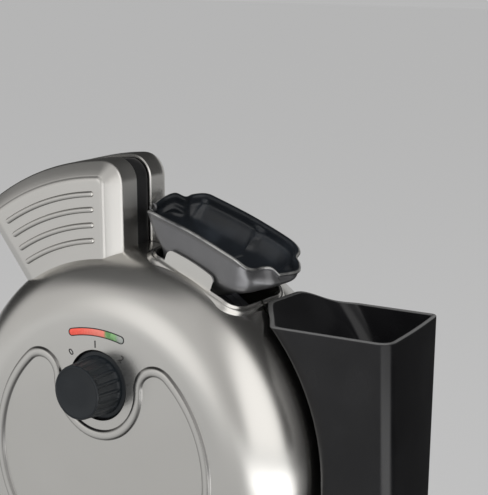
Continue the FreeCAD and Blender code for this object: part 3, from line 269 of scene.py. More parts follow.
def mesh_of(name, parts, closed=True, mark=None):
    """One mesh of several nets in the machine's frame, with doubles merged and faces turned outwards.

    mark gives each point a number that a finish can read as the attribute "mark"."""
    points = np.concatenate([part[0] for part in parts])
    shift = np.cumsum([0] + [len(part[0]) for part in parts])
    faces = [[corner + start for corner in face] for part, start in zip(parts, shift) for face in part[1]]
    mesh = bpy.data.meshes.new(name)
    mesh.from_pydata(((points + SHELL_AXIS) / 1000).tolist(), [], faces)
    if mark is not None:
        mesh.attributes.new("mark", "FLOAT", "POINT").data.foreach_set("value", np.ravel(mark))
    work = bmesh.new()
    work.from_mesh(mesh)
    bmesh.ops.remove_doubles(work, verts=work.verts, dist=1e-6)
    if closed:
        bmesh.ops.recalc_face_normals(work, faces=work.faces)
    work.to_mesh(mesh)
    work.free()
    return mesh


def shown(name, mesh, body, slot, finish, *nodes, sharp=32):
    """Put a mesh in the scene as a piece that rides on a body and stands for CAD nodes."""
    made = bpy.data.objects.new(name, mesh)
    bpy.context.scene.collection.objects.link(made)
    mesh.shade_smooth()
    mesh.set_sharp_from_angle(angle=math.radians(sharp))
    mesh.materials.append(finish)
    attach(made, body)
    if nodes:
        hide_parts(*nodes)
    return made


def settle(made):
    """The mesh that a piece and its modifiers come to."""
    bpy.context.view_layer.update()
    return bpy.data.meshes.new_from_object(made.evaluated_get(bpy.context.evaluated_depsgraph_get()))


def cut_from(mesh, wall, cutters):
    """The sheet with its wall thickness, minus closed cutters."""
    sheet = bpy.data.objects.new("sheet", mesh)
    bpy.context.scene.collection.objects.link(sheet)
    thick = sheet.modifiers.new("wall", "SOLIDIFY")
    thick.thickness = wall / 1000
    thick.offset = -1
    tools = []
    for order, cutter in enumerate(cutters):
        tool = bpy.data.objects.new(f"cutter_{order}", mesh_of(f"cutter_{order}", [cutter]))
        bpy.context.scene.collection.objects.link(tool)
        hole = sheet.modifiers.new(f"hole_{order}", "BOOLEAN")
        hole.operation = "DIFFERENCE"
        hole.solver = "EXACT"
        hole.object = tool
        tools.append(tool)
    made = settle(sheet)
    for done in [sheet] + tools:
        bpy.data.objects.remove(done)
    return made


def dome(depth, side):
    """A flat face, a quarter-round shoulder and a straight rim, turned about the axis."""
    bend = np.radians(np.linspace(0, 90, 27))
    radius = np.concatenate([[0, 25, 50, 70], FLAT_RADIUS + SHOULDER * np.sin(bend), [SHELL_RADIUS] * 2])
    y = side * np.concatenate([[depth] * 4, depth - SHOULDER + SHOULDER * np.cos(bend), [7, PARTING]])
    angle = np.linspace(0, 2 * math.pi, 240, endpoint=False) * -side
    grid = np.stack([radius[:, None] * np.sin(angle), np.repeat(y[:, None], len(angle), 1),
                     radius[:, None] * np.cos(angle)], axis=-1)
    return net(grid, around=True)


def prism(outline, low, high, place):
    """A closed straight bar: the outline's two numbers and a level go through place to give points."""
    ends = np.stack([place(outline[:, 0], outline[:, 1], level) for level in (low, high)])
    count = len(outline)
    return with_ends(net(ends, around=True), range(count), range(2 * count - 1, count - 1, -1))


def along_y(x, z, y):
    return np.stack([x, np.full_like(x, y), z], axis=-1)


def rounded_path(corners, radius, count=8):
    """An open path of straight runs whose inner corners are rounded by arcs, as points with unit normals.

    The normal points to the right of the way."""
    corners = np.array(corners, float)
    points, normals = [], []

    def add(point, normal):
        points.append(point)
        normals.append(normal)

    ways = np.diff(corners, axis=0)
    ways /= np.linalg.norm(ways, axis=1)[:, None]
    rights = np.stack([ways[:, 1], -ways[:, 0]], axis=-1)
    add(corners[0], rights[0])
    for i in range(1, len(corners) - 1):
        turn = math.acos(np.clip(ways[i - 1] @ ways[i], -1, 1))
        side = np.sign(np.cross(ways[i - 1], ways[i]))
        reach = radius * math.tan(turn / 2)
        centre = corners[i] - ways[i - 1] * reach - rights[i - 1] * radius * side
        for share in np.linspace(0, 1, count):
            angle = turn * share * side
            normal = np.array([rights[i - 1][0] * math.cos(angle) - rights[i - 1][1] * math.sin(angle),
                               rights[i - 1][0] * math.sin(angle) + rights[i - 1][1] * math.cos(angle)])
            add(centre + normal * radius * side, normal)
    add(corners[-1], rights[-1])
    return np.array(points), np.array(normals)


def dome_radius(y, depth):
    """How far the dome's skin is from the axis at a depth from the parting plane."""
    into = np.clip(np.abs(y) - (depth - SHOULDER), 0, SHOULDER)
    return FLAT_RADIUS + np.sqrt(SHOULDER ** 2 - into ** 2)


# The lip's section: distance outwards from the edge of the hole, and height over the skin.
LIP = np.array([(-0.1, -5), (-0.15, 1.1), (0, 1.9), (0.3, 2.3), (0.75, 2.35), (1.2, 1.95), (1.55, 1.45), (1.9, 1.35),
                (2.25, 1.6), (2.65, 1.8), (3.05, 1.7), (3.45, 1.2), (3.85, 0.55), (4.3, 0.1), (4.9, -0.3)])


def rolled_lip(depth, side):
    """The lip's section carried along the three sides of the cut-out, square to the skin of the dome."""
    far = side * CUTOUT_DEPTH
    corners = [(-CUTOUT_LEFT, side * PARTING), (-CUTOUT_LEFT, far), (CUTOUT_RIGHT, far),
               (CUTOUT_RIGHT, side * PARTING)]
    path, outward = rounded_path(corners, 9.5, 14)
    outward = outward * -side if side > 0 else outward
    steps = np.linspace(0, 1, 5)[1:-1, None]
    path = np.concatenate([path[:1], path[:1] + steps * (path[1] - path[0]), path[1:]])
    outward = np.concatenate([outward[:1], np.repeat(outward[:1], 3, 0), outward[1:]])
    t = path[:, :1] + outward[:, :1] * LIP[:, 0]
    y = path[:, 1:] + outward[:, 1:] * LIP[:, 0]
    y = side * np.maximum(side * y, PARTING)
    rho = np.sqrt((dome_radius(y, depth) + LIP[:, 1]) ** 2 - t ** 2)
    count, last = len(LIP), len(LIP) * (len(t) - 1)
    return with_ends(net(turned(t, y, rho, CUTOUT_TURN), around=True), range(count),
                     range(last + count - 1, last - 1, -1))


def cutout_block(side):
    """What the funnel's hole takes out of a dome, just under the lip."""
    left, right_end, far = -CUTOUT_LEFT - 1, CUTOUT_RIGHT + 1, side * (CUTOUT_DEPTH + 1)
    path = rounded_path([(left, -2 * side), (left, far), (right_end, far), (right_end, -2 * side)], 10)[0]
    return prism(path, SHELL_RADIUS - 25, SHELL_RADIUS + 20, lambda t, y, rho: turned(t, y, rho, CUTOUT_TURN))


def wave_path():
    """The middle of the bead: most of a circle, two humps, and a trough that dips under the dial."""
    ring, hump, trough, dial = 75.2, 12.5, 29, 45.6
    hump_x = trough + hump
    hump_z = math.sqrt((ring - hump) ** 2 - hump_x ** 2)
    lean = math.degrees(math.atan2(hump_z, hump_x))
    half = [arc((hump_x, hump_z), hump, lean, 180, 26), arc((0, dial), trough, 0, -90, 40)]
    right_half = np.concatenate([half[0], np.stack([np.full(4, trough), np.linspace(hump_z, dial, 6)[1:-1]], -1),
                                 half[1]])
    left_half = right_half[::-1][1:] * (-1, 1)
    bottom = arc((0, 0), ring, 180 - lean, 360 + lean, 150)[1:-1]
    return np.concatenate([right_half, left_half, bottom])


def swept_ridge(path, section, y):
    """A closed path in the face, with a section of (distance to its left, height) carried along it."""
    way = np.roll(path, -1, 0) - np.roll(path, 1, 0)
    way /= np.linalg.norm(way, axis=1)[:, None]
    left = np.stack([-way[:, 1], way[:, 0]], axis=-1)
    flat_points = path[:, None] + left[:, None] * section[None, :, :1]
    heights = np.broadcast_to(y - section[:, 1], flat_points.shape[:2])
    grid = np.stack([flat_points[..., 0], heights, flat_points[..., 1]], axis=-1)
    return net(grid, around=True, along=True)


BEAD = np.array([(-3.3, -0.3), (-3.1, 0.0), (-2.75, 0.2), (-2.45, 0.75), (-2.1, 1.2), (-1.5, 1.45), (-0.6, 1.55),
                 (0.6, 1.55), (1.5, 1.45), (2.1, 1.2), (2.45, 0.75), (2.75, 0.2), (3.1, 0.0), (3.3, -0.3)])
BEAD_PAINTED_SHADE = np.array([0.3, 0.5, 0.9, 1, 0.8, 0.35, 0, 0, 0.35, 0.8, 1, 0.9, 0.5, 0.3])
DIAL_HEIGHT = 45.6
DIAL_HOLE = 20.6
WINDOW = (74.5, 78.3, 13.4)


def window_outline(grow):
    """The curved slot of the window: two arcs about the shell's axis joined by half rounds."""
    low, high, half = WINDOW
    middle, end = (low + high) / 2, (high - low) / 2 + grow
    place = np.array([math.sin(math.radians(half)), math.cos(math.radians(half))]) * middle
    return np.concatenate([
        arc((0, 0), high + grow, 90 - half, 90 + half, 24),
        arc((-place[0], place[1]), end, 90 + half, 270 + half, 10)[1:-1],
        arc((0, 0), low - grow, 90 + half, 90 - half, 24),
        arc(place, end, 270 - half, 450 - half, 10)[1:-1],
    ])


def stand_up_tab():
    """A tab turned up from the front edge of the cut-out: a bent sheet with round upper corners."""
    turn, half, top, corner = 22.5, 17, 127.4, 3.2
    outline, _ = rounded_path([(-half, 112), (-half, top - 1.2), (half, top - 1.2), (half, 112)], corner, 8)
    crown = np.linspace(0, 1, 14)[1:-1, None]
    middle = len(outline) // 2
    outline = np.concatenate([outline[:middle], outline[middle - 1] + crown * (outline[middle] - outline[middle - 1]),
                              outline[middle:]])
    rise = 1.2 * np.clip(1 - (outline[:, 0] / half) ** 2, 0, 1) * (outline[:, 1] > 120)
    levels = (CUTOUT_DEPTH + 0.2, CUTOUT_DEPTH + 1.4)
    return prism(outline + np.stack([0 * rise, rise], -1), -levels[1], -levels[0],
                 lambda t, rho, y: turned(t, y, rho, turn))


def finish_of(name):
    """A new material and its Object coordinates."""
    made = bpy.data.materials.new(name)
    made.use_nodes = True
    made.node_tree.nodes.clear()
    return made, Socket(made.node_tree).node("ShaderNodeTexCoord", out="Object")


def steel(name, grain=1.0, rough=0.18, shade=0.0):
    """Satin steel: a warm grey metal with a fine even grain and slow changes in its gloss.

    shade is painted shade: it darkens the colour towards dark grey where the attribute mark is 1, on the flanks beside
    a bead."""
    made, place = finish_of(name)
    fine = place.node("ShaderNodeTexNoise", values={"Vector": place, "Scale": 2600, "Detail": 2})
    slow = place.node("ShaderNodeTexNoise", values={"Vector": place, "Scale": 22, "Detail": 3})
    colour = slow.blend((0.80, 0.785, 0.75, 1), (0.85, 0.835, 0.80, 1))
    if shade:
        # Painted shade: where the attribute mark is set, the colour goes towards dark grey.
        painted_shade_mask = place.node("ShaderNodeAttribute", {"attribute_name": "mark"}, out="Fac")
        colour = (painted_shade_mask * shade).blend(colour, grey(0.05))
    relief = place.node("ShaderNodeBump", values={"Height": fine, "Strength": 0.12 * grain, "Distance": 0.0001})
    principled(place, colour, rough + 0.08 * slow + 0.05 * fine, {"Metallic": 1}, relief)
    return made


def principled(place, colour, roughness, fixed, relief=None):
    """The shader of a finish: colour and roughness may vary, and fixed holds the sockets that don't."""
    values = {"Base Color": colour, "Roughness": roughness, **fixed}
    if relief:
        values["Normal"] = relief
    shader = place.node("ShaderNodeBsdfPrincipled", values=values)
    place.node("ShaderNodeOutputMaterial", values={"Surface": shader})


shell_steel = steel("satin_steel")
dial_circle = arc((0, DIAL_HEIGHT), DIAL_HOLE, 0, 360, 97)[:-1]
front_cutters = [prism(dial_circle, -FRONT_DEPTH - 5, -FRONT_DEPTH + 5, lambda x, z, y: along_y(x, z, y)),
                 prism(window_outline(0.2), -FRONT_DEPTH - 5, -FRONT_DEPTH + 5, lambda x, z, y: along_y(x, z, y)),
                 cutout_block(-1)]
front_dome = cut_from(mesh_of("front_dome", [dome(FRONT_DEPTH, -1)], closed=False), 1, front_cutters)


def joined(mesh, parts):
    """A mesh with more nets added to it."""
    work = bmesh.new()
    work.from_mesh(mesh)
    work.from_mesh(mesh_of("added", parts))
    work.to_mesh(mesh)
    work.free()
    return mesh


joined(front_dome, [rolled_lip(FRONT_DEPTH, -1)])
joined(front_dome, [stand_up_tab()])
shown("front_shell_skin", front_dome, "front_half", "steel", shell_steel, "front_shell")
wave = wave_path()
# The mark darkens the bead's flanks: painted shade beside its crest.
wave_mesh = mesh_of("wave_bead", [swept_ridge(wave, BEAD, -FRONT_DEPTH)], mark=np.tile(BEAD_PAINTED_SHADE, len(wave)))
bead_steel = steel("bead_steel", shade=0.8)
shown("wave_bead", wave_mesh, "front_half", "steel", bead_steel, sharp=60)


# Rear shell: the deeper half of the same pressed steel, with a plain flat back and its own rolled cut-out.
rear_dome = cut_from(mesh_of("rear_dome", [dome(REAR_DEPTH, 1)], closed=False), 1, [cutout_block(1)])
joined(rear_dome, [rolled_lip(REAR_DEPTH, 1)])
shown("rear_shell_skin", rear_dome, "stand", "steel", shell_steel, "rear_shell")


# Front handle shell: the fan-shaped grip of the front half, pressed from the same steel, with a stepped panel and
# four raised beads that stop the fingers slipping. Its black liner is a moulding between the two handle shells.
HANDLE_RADIUS = 170.5
HANDLE_SIDE = 1
HANDLE_END = 128
HANDLE_FOOT = 113
HANDLE_CORNER = 13


def fan_outline(inset):
    """The fan's outline at an inset: right side, round corner, big arc, round corner, left side, foot arc.

    The foot, hidden in the dome, and the number of points stay the same, so outlines join point by point."""
    radius, side, corner = HANDLE_RADIUS - inset, HANDLE_SIDE - inset, HANDLE_CORNER - inset
    reach = radius - corner
    near_x = side - corner
    near = (near_x, math.sqrt(reach ** 2 - near_x ** 2))
    near_angle = math.degrees(math.atan2(near[1], near[0]))
    far_angle = HANDLE_END - math.degrees(math.asin((corner + inset) / reach))
    far = (reach * math.cos(math.radians(far_angle)), reach * math.sin(math.radians(far_angle)))
    foot = math.sqrt(HANDLE_FOOT ** 2 - side ** 2)
    left_foot = HANDLE_END - math.degrees(inset / HANDLE_FOOT)
    right_side = np.stack([np.full(9, side), np.linspace(foot, near[1], 10)[:-1]], axis=-1)
    big_arc = arc((0, 0), radius, near_angle, far_angle, 44)[1:-1]
    left_side = np.linspace(arc(far, corner, 0, HANDLE_END + 90, 2)[1], arc((0, 0), HANDLE_FOOT, 0, left_foot, 2)[1], 10)
    foot_arc = arc((0, 0), HANDLE_FOOT, left_foot, math.degrees(math.atan2(foot, side)), 30)[1:-1]
    return np.concatenate([right_side, arc(near, corner, 0, near_angle, 14), big_arc,
                           arc(far, corner, far_angle, HANDLE_END + 90, 14), left_side[1:], foot_arc])


def fan_shell(rows):
    """Outlines of the fan at each (inset, y) joined into a closed form with flat ends."""
    grid = np.stack([along_y(outline[:, 0], outline[:, 1], y)
                     for outline, y in ((fan_outline(inset), y) for inset, y in rows)])
    count = grid.shape[1]
    last = count * (len(rows) - 1)
    return with_ends(net(grid, around=True), range(count), range(last + count - 1, last - 1, -1))


def bend_rows(inset, y, radius, start, end, side, count=9):
    """Rows of a rounded edge: inset and depth along an arc whose centre is given."""
    angle = np.radians(np.linspace(start, end, count))
    return [(inset - radius * math.cos(a), y + side * radius * math.sin(a)) for a in angle]


def grip_bead(radius, start, end):
    """A ridge bent along the handle: an ellipse carried along an arc, drawn in to a round end at both ends."""
    half_width, rise, ends = 1.75, 1.75, 1.75
    length = math.radians(end - start) * radius
    along = np.concatenate([ends * (1 - np.cos(np.linspace(0, math.pi / 2, 7))), [length / 2],
                            length - ends * (1 - np.cos(np.linspace(math.pi / 2, 0, 7)))])
    along = np.sort(np.concatenate([along, np.linspace(ends, length - ends, 26)[1:-1]]))
    near_end = np.clip(np.minimum(along, length - along) / ends, 0, 1)
    size = np.sqrt(1 - (1 - near_end) ** 2)[:, None]
    size[[0, -1]] = 0.02
    turn = np.linspace(0, 2 * math.pi, BEAD_SIDES + 1)[:-1]
    out = radius + half_width * size * np.cos(turn)
    y = -PANEL_TOP + 0.25 - rise * size * np.sin(turn)
    angle = np.radians(start + np.degrees(along / radius))[:, None]
    grid = np.stack([out * np.cos(angle), y, out * np.sin(angle)], axis=-1)
    last = BEAD_SIDES * (len(along) - 1)
    # Painted shade: a thin dark line along the upper flank of each bead and a wider dark band along its lower flank,
    # passed on as the mark.
    flank = np.degrees(turn)
    shade = 0.9 * np.exp(-((flank - 24) / 17) ** 2) + np.exp(-((flank - 150) / 26) ** 2)
    return (with_ends(net(grid, around=True), range(BEAD_SIDES), range(last + BEAD_SIDES - 1, last - 1, -1)),
            np.tile(shade, len(along)))


PANEL_TOP = 33.3
BEAD_SIDES = 28
front_handle_rows = [(1.6, -12), (0.4, -12.15), (0, -12.6), (0, -17)]
front_handle_rows += bend_rows(2.4, -24.8, 2.4, 0, 54, -1, 8)
front_handle_rows += [(4.5, -29.35), (7.7, -31.7), (8.1, -31.9), (8.4, -32.05), (8.75, -32.3), (9.2, -32.7),
                      (9.8, -33.05), (10.6, -33.24), (11.6, -PANEL_TOP)]
beads, grip_bead_painted_shade = zip(*[grip_bead(152 - 8.93 * i, 95.4 + 0.4 * i, 122.2) for i in range(4)])
handle_steel = steel("handle_steel", rough=0.27)
shown("front_handle_skin", mesh_of("front_handle_skin", [fan_shell(front_handle_rows)]), "front_half", "steel",
      handle_steel, "front_handle_shell", sharp=40)
# The grip beads' finish darkens the marked flanks: painted shade.
grip_steel = steel("grip_bead_steel", rough=0.27, shade=0.8)
shown("grip_beads", mesh_of("grip_beads", beads, mark=np.concatenate(grip_bead_painted_shade)), "front_half", "steel",
      grip_steel, sharp=60)


# Rear handle shell: the fan of the rear half, plain at its back, open to the front round the black liner.
brushed = steel("brushed_steel", 1.6)
rear_handle_rows = [(3, 6), (2.6, 5.5), (2.6, 0.6), (1.9, 0.3), (0.7, 0.3), (0, 0.9), (0, 9)]
rear_handle_rows += bend_rows(6.5, 11.5, 6.5, 0, 90, 1, 12) + [(9, 18)]
shown("rear_handle_skin", mesh_of("rear_handle_skin", [fan_shell(rear_handle_rows)]), "stand", "steel", brushed,
      "rear_handle_shell")


# Batter funnel: two thin castings in satin black non-stick finish, one on each half of the machine, which meet on
# the parting plane. The rim has an ear at each end of each half, and the floor leads to the slot over the plates.
FUNNEL_TURN = 20
SEAM = 0.15
# Each level is a row of 15 places (t, y, rho) from the left end of the seam round to its right end.
FRONT_LEVELS = [
    [(-23, 0), (-23, -4), (-22.9, -8), (-22.5, -11), (-21, -14.5), (-17, -17), (-11, -17), (0, -17), (11, -17),
     (17, -17), (21, -14.5), (22.5, -11), (22.9, -8), (23, -4), (23, 0)],
    [(-22.6, 0), (-22.6, -4), (-22.5, -7), (-22.2, -10), (-20.8, -14), (-17.5, -17.2), (-11, -18.2), (4, -18.4),
     (19, -18.2), (25, -17), (28.4, -13.5), (29.6, -10), (30, -7), (30.2, -4), (30.2, 0)],
    [(-26, 0), (-25.6, -4), (-24.6, -8.5), (-23.2, -13), (-21, -17.4), (-17.4, -20.9), (-11.5, -22.2), (5, -22.4),
     (26, -22.4), (33, -21.2), (37.6, -17.2), (39.3, -12), (40, -7.5), (40.3, -3.5), (40.4, 0)],
    [(-43.6, 0), (-42, -4.5), (-38, -8.6), (-33, -13), (-29, -18.4), (-25, -22.2), (-18, -23.5), (1, -23.9),
     (25, -23.7), (32.5, -22.6), (37.8, -18.6), (40.6, -13.6), (44.2, -9), (47.6, -5), (49, 0)],
]
FRONT_RIM = [(-43.6, 0, 131.6), (-42.4, -4.6, 132.9), (-40.2, -8.6, 134.6), (-37.4, -12.6, 135.8), (-35.4, -18.5, 137.9),
             (-31.5, -23.6, 140.3), (-24, -25, 141.3), (0, -25.2, 142.4), (24, -25, 141.3), (31.5, -23.8, 140.2),
             (36.3, -18.8, 137), (37.7, -12.2, 135.4), (39.2, -6.4, 136.2), (42.6, -2.9, 136.8), (46.6, 0, 134.2)]
REAR_LEVELS = [
    [(t, -y) for t, y in FRONT_LEVELS[0]],
    [(t, -y) for t, y in FRONT_LEVELS[1]],
    [(-26, 0), (-26, 5), (-25.6, 10), (-24.8, 14.5), (-23, 18.8), (-19, 21.8), (-13, 22.8), (4, 23), (24, 22.8),
     (32, 21.6), (37, 18), (39.5, 14), (40.2, 9.5), (40.4, 5), (40.4, 0)],
    [(-43.6, 0), (-44.2, 7), (-42.4, 14), (-37.6, 20), (-35, 25.6), (-30, 29.8), (-22, 31), (1, 31.2), (25, 31),
     (33.5, 29.6), (38.4, 25.4), (41.2, 21.4), (45.8, 17.8), (49.4, 11), (49, 0)],
]
REAR_RIM = [(-45.4, 0, 134.2), (-45.6, 7, 137), (-43, 14.2, 140.2), (-38.8, 20, 138.8), (-38, 26, 139.8),
            (-33, 32, 141.6), (-24, 33.3, 142), (0, 33.6, 142.4), (24, 33.2, 141.6), (34, 31.6, 140.9),
            (39.8, 27.4, 140), (41.2, 23.6, 137.6), (45.6, 20.8, 136.4), (50, 13, 135.4), (46.6, 0, 134.2)]
LEVEL_HEIGHTS = (111.9, 116.5, 122.4, 129.8)
AROUND = 12
SLOT = [(-21, 0), (-21, 1.8), (-21, 3.6), (-20.6, 5.4), (-18.5, 6.4), (-14, 6.5), (-8, 6.5), (0, 6.5), (8, 6.5),
        (14, 6.5), (18.5, 6.4), (20.6, 5.4), (21, 3.6), (21, 1.8), (21, 0)]


def smooth(points, steps):
    """A curve through every given point, with steps divisions between neighbours (a Catmull-Rom spline)."""
    points = np.asarray(points, float)
    held = np.concatenate([2 * points[:1] - points[1:2], points, 2 * points[-1:] - points[-2:-1]])
    before, start, end, after = [held[i:len(held) - 3 + i, None] for i in range(4)]
    s = np.linspace(0, 1, steps + 1)[:-1].reshape((1, steps) + (1,) * (points.ndim - 1))
    curve = 0.5 * (2 * start + (end - before) * s + (2 * before - 5 * start + 4 * end - after) * s ** 2
                   + (3 * start - before - 3 * end + after) * s ** 3)
    return np.concatenate([curve.reshape((-1,) + points.shape[1:]), points[-1:]])


def shrunk(curve, inset, drop=0.0):
    """A level's curve drawn in towards its middle by an inset in both directions, and down by a drop."""
    half, depth = np.abs(curve[:, :2]).max(axis=0)
    return curve * (1 - inset / half, 1 - inset / depth, 1) - (0, 0, drop)


def funnel_half(name, levels, rim, ridges):
    """Outer wall, rolled rim, inner wall with a ledge under the rim, floor and slot, as rows of one closed grid."""
    side = np.sign(rim[7][1])
    curves = [smooth([(t, y, height) for t, y in level], AROUND) for level, height in zip(levels, LEVEL_HEIGHTS)]
    top = smooth(rim, AROUND)
    slot = [smooth([(t, side * y, height) for t, y in SLOT], AROUND) for height in (120.4, 112.2)]
    outer = smooth(np.stack(curves + [shrunk(top, 0, 1.3)]), 5)
    bead = [shrunk(top, inset, drop) for inset, drop in
            ((-0.45, 0.95), (-0.7, 0.35), (-0.6, -0.25), (-0.1, -0.7), (0.8, -0.85), (1.6, -0.7), (2.2, -0.2), (2.45, 0.6))]
    inner = smooth(np.stack([shrunk(top, 2.5, 1.4), shrunk(top, 2.7, 5), shrunk(top, 4.3, 7.2),
                             shrunk(curves[3], 5.2, 1.5), shrunk(curves[2], 3.4, -2.6)]), 4)
    for place, width, height in ridges:
        strength = np.exp(-((inner[..., 0] - place) / width) ** 2) * (inner[..., 2] < top[None, :, 2] - 3)
        inner[..., 1] -= side * height * strength
    slope = slot[0][None] + (inner[-1:] - slot[0][None]) * np.array([0.66, 0.33])[:, None, None]
    rows = np.concatenate([outer, np.stack(bead), inner, slope, np.stack(slot)])
    rows[:, [0, -1], 1] = 0
    rows[..., 1] = side * np.maximum(side * rows[..., 1], SEAM)
    grid = turned(rows[..., 0], rows[..., 1], rows[..., 2], FUNNEL_TURN)
    count, columns = grid.shape[:2]
    ends = [np.arange(count) * columns, np.arange(count)[::-1] * columns + columns - 1]
    mark = np.repeat([0.0, 0.3, 0.5, 0.62, 1.0], [len(outer), 2, 2, 4, count - len(outer) - 8])
    return mesh_of(name, [with_ends(net(grid, along=True), *ends)], mark=np.repeat(mark, columns))


def ear_curl():
    """The end of the left ear's rolled rim: a rod bent through three quarters of a turn."""
    bend, radius, rod, sides = np.radians(np.linspace(-160, 110, 21))[:, None], 2.1, 0.8, 12
    around = np.linspace(0, 2 * math.pi, sides + 1)[:-1]
    reach = radius + rod * np.cos(around)
    grid = turned(-43.5 + reach * np.cos(bend), -3.2 + rod * np.sin(around), 134.2 + reach * np.sin(bend), FUNNEL_TURN)
    last = sides * (len(bend) - 1)
    return with_ends(net(grid, around=True), range(sides), range(last + sides - 1, last - 1, -1))


def coated(name, colour, gloss, metal=0.0):
    """A satin coating on a casting: fine pebbled relief, and patches where handling has polished it."""
    made, place = finish_of(name)
    pebble = place.node("ShaderNodeTexNoise", values={"Vector": place, "Scale": 1500, "Detail": 3})
    rubbed = place.node("ShaderNodeTexNoise", values={"Vector": place, "Scale": 40, "Detail": 4})
    shade = rubbed.between(0.35, 0.75)
    lighter = tuple(c * 1.35 for c in colour[:3]) + (1,)
    relief = place.node("ShaderNodeBump", values={"Height": pebble, "Strength": 0.25, "Distance": 0.0001})
    principled(place, shade.blend(colour, lighter), gloss + 0.1 * rubbed - 0.06 * shade, {"Metallic": metal}, relief)
    return made


non_stick, funnel_place = finish_of("satin_non_stick")
mark = funnel_place.node("ShaderNodeAttribute", {"attribute_name": "mark"}, out="Fac")
pebble = funnel_place.node("ShaderNodeTexNoise", values={"Vector": funnel_place, "Scale": 1500, "Detail": 3})
rubbed = funnel_place.node("ShaderNodeTexNoise", values={"Vector": funnel_place, "Scale": 60, "Detail": 4})
outside = rubbed.blend((0.20, 0.20, 0.21, 1), (0.27, 0.27, 0.275, 1))
# Painted highlight: the rolled rim's rows turn light grey in patches, standing in for the light the rim catches.
rim_painted_highlight = (mark.between(0.3, 0.5) - mark.between(0.5, 0.62)) * rubbed.between(0.3, 0.6)
# Painted shade: the inner walls, floor and slot of the same coating are coloured near black.
inner_painted_shade = rubbed.between(0.4, 0.75).blend((0.010, 0.012, 0.015, 1), (0.02, 0.024, 0.03, 1))
coat_colour = rim_painted_highlight.blend(mark.between(0.35, 0.62).blend(outside, inner_painted_shade), (0.62, 0.62, 0.60, 1))
pebble_bump = funnel_place.node("ShaderNodeBump", values={"Height": pebble, "Strength": 0.25, "Distance": 0.0001})
principled(funnel_place, coat_colour, 0.34 + 0.1 * rubbed - 0.08 * mark,
           {"Metallic": 0.75 - 0.75 * mark.between(0.5, 0.7)}, pebble_bump)
front_funnel = funnel_half("front_funnel_casting", FRONT_LEVELS, FRONT_RIM, [(-30, 1.2, 0.5)])
joined(front_funnel, [ear_curl()])
shown("front_funnel_casting", front_funnel, "front_half", "non_stick", non_stick, "front_funnel", sharp=60)
shown("rear_funnel_casting", funnel_half("rear_funnel_casting", REAR_LEVELS, REAR_RIM,
                                         [(9, 1.5, 3.4), (-31, 1.2, 1.6)]),
      "stand", "non_stick", non_stick, "rear_funnel", sharp=60)


# Control knob: a satin moulding in near-black blue with a flat cap and eighteen shallow flutes, pressed on the
# spindle of the thermostat so that it turns with it.
def knob_form():
    """Rows of (y, radius, flute depth) turned about the knob's axis; the flutes are wide hollows between ribs."""
    rows = np.array([
        (47.2, 0, 0), (47.2, 18.9, 0), (47.35, 19.5, 0), (47.8, 19.75, 0), (49.4, 19.75, 0), (49.9, 19.5, 0),
        (50.2, 19.0, 0), (50.3, 17.7, 0), (50.45, 17.25, 0), (51.2, 17.1, 0), (52.2, 17.05, 0.05), (52.9, 17.0, 0.5),
        (53.6, 16.95, 0.85), (56, 16.8, 0.9), (60, 16.45, 0.9), (64, 16.1, 0.9), (67.4, 15.85, 0.9),
        (68.3, 15.8, 0.65), (68.9, 15.75, 0.25), (69.3, 15.7, 0.05), (69.8, 15.5, 0), (70.15, 15.15, 0),
        (70.3, 14.75, 0), (70.25, 14.45, 0), (69.95, 14.3, 0), (69.8, 14.1, 0), (69.8, 7, 0), (69.8, 0, 0),
    ])
    flutes, steps = 18, 14
    angle = np.linspace(0, 2 * math.pi, flutes * steps, endpoint=False)
    share = np.abs(((angle * flutes / (2 * math.pi)) % 1) - 0.5) * 2
    hollow = np.clip((0.82 - share) / 0.22, 0, 1)
    hollow = hollow * hollow * (3 - 2 * hollow)
    radius = rows[:, 1:2] - rows[:, 2:3] * hollow
    grid = np.stack([radius * np.cos(angle), np.repeat(-rows[:, :1], len(angle), 1),
                     DIAL_HEIGHT + radius * np.sin(angle)], axis=-1)
    return net(grid, around=True)


def moulded(name, colour, rough, grain=900, relief=0.2, coat=0.0, edge=0.0, shine=0.5):
    """Moulded plastic: an even colour, fine spark-eroded grain and a little unevenness in its gloss.

    edge is a painted highlight: a lighter grey where the attribute mark is 1, along a rim; shine the strength of its
    mirror."""
    made, place = finish_of(name)
    fine = place.node("ShaderNodeTexNoise", values={"Vector": place, "Scale": grain, "Detail": 4})
    handled = place.node("ShaderNodeTexNoise", values={"Vector": place, "Scale": 30, "Detail": 3})
    dusty = tuple(min(1, c * 1.25 + 0.004) for c in colour[:3]) + (1,)
    bump = place.node("ShaderNodeBump", values={"Height": fine, "Strength": relief, "Distance": 0.0001})
    colour = handled.between(0.3, 0.8).blend(colour, dusty)
    if edge:
        # Painted highlight: a lighter grey where the attribute mark is 1.
        colour = place.node("ShaderNodeAttribute", {"attribute_name": "mark"}, out="Fac").blend(colour, grey(edge))
    principled(place, colour, rough + 0.12 * handled - 0.04 * fine,
               {"Coat Weight": coat, "Coat Roughness": 0.08, "Specular IOR Level": shine}, bump)
    return made


knob_plastic = moulded("knob_plastic", (0.008, 0.011, 0.014, 1), 0.42, 1400)
shown("control_knob_moulding", mesh_of("control_knob_moulding", [knob_form()]), "knob", "knob_blue_black",
      knob_plastic, "control_knob", sharp=45)


# Indicator window: a clear strip over the two lamps, tinted red over the heating lamp and green over the ready
# lamp, with fine ribs inside that spread the light, and a thin black seal round it.
def window_strip():
    """The window's outline drawn in to its middle line in rows, with a softly rounded face."""
    rows = [(0.15, 48.6), (0.15, 51.2), (0, 51.45), (-0.3, 51.6), (-0.9, 51.7), (-1.6, 51.75)]
    grid = np.stack([along_y(line[:, 0], line[:, 1], -y) for line, y in
                     ((window_outline(grow), y) for grow, y in rows)])
    count = grid.shape[1]
    last = count * (len(rows) - 1)
    return with_ends(net(grid, around=True), range(count), range(last + count - 1, last - 1, -1))


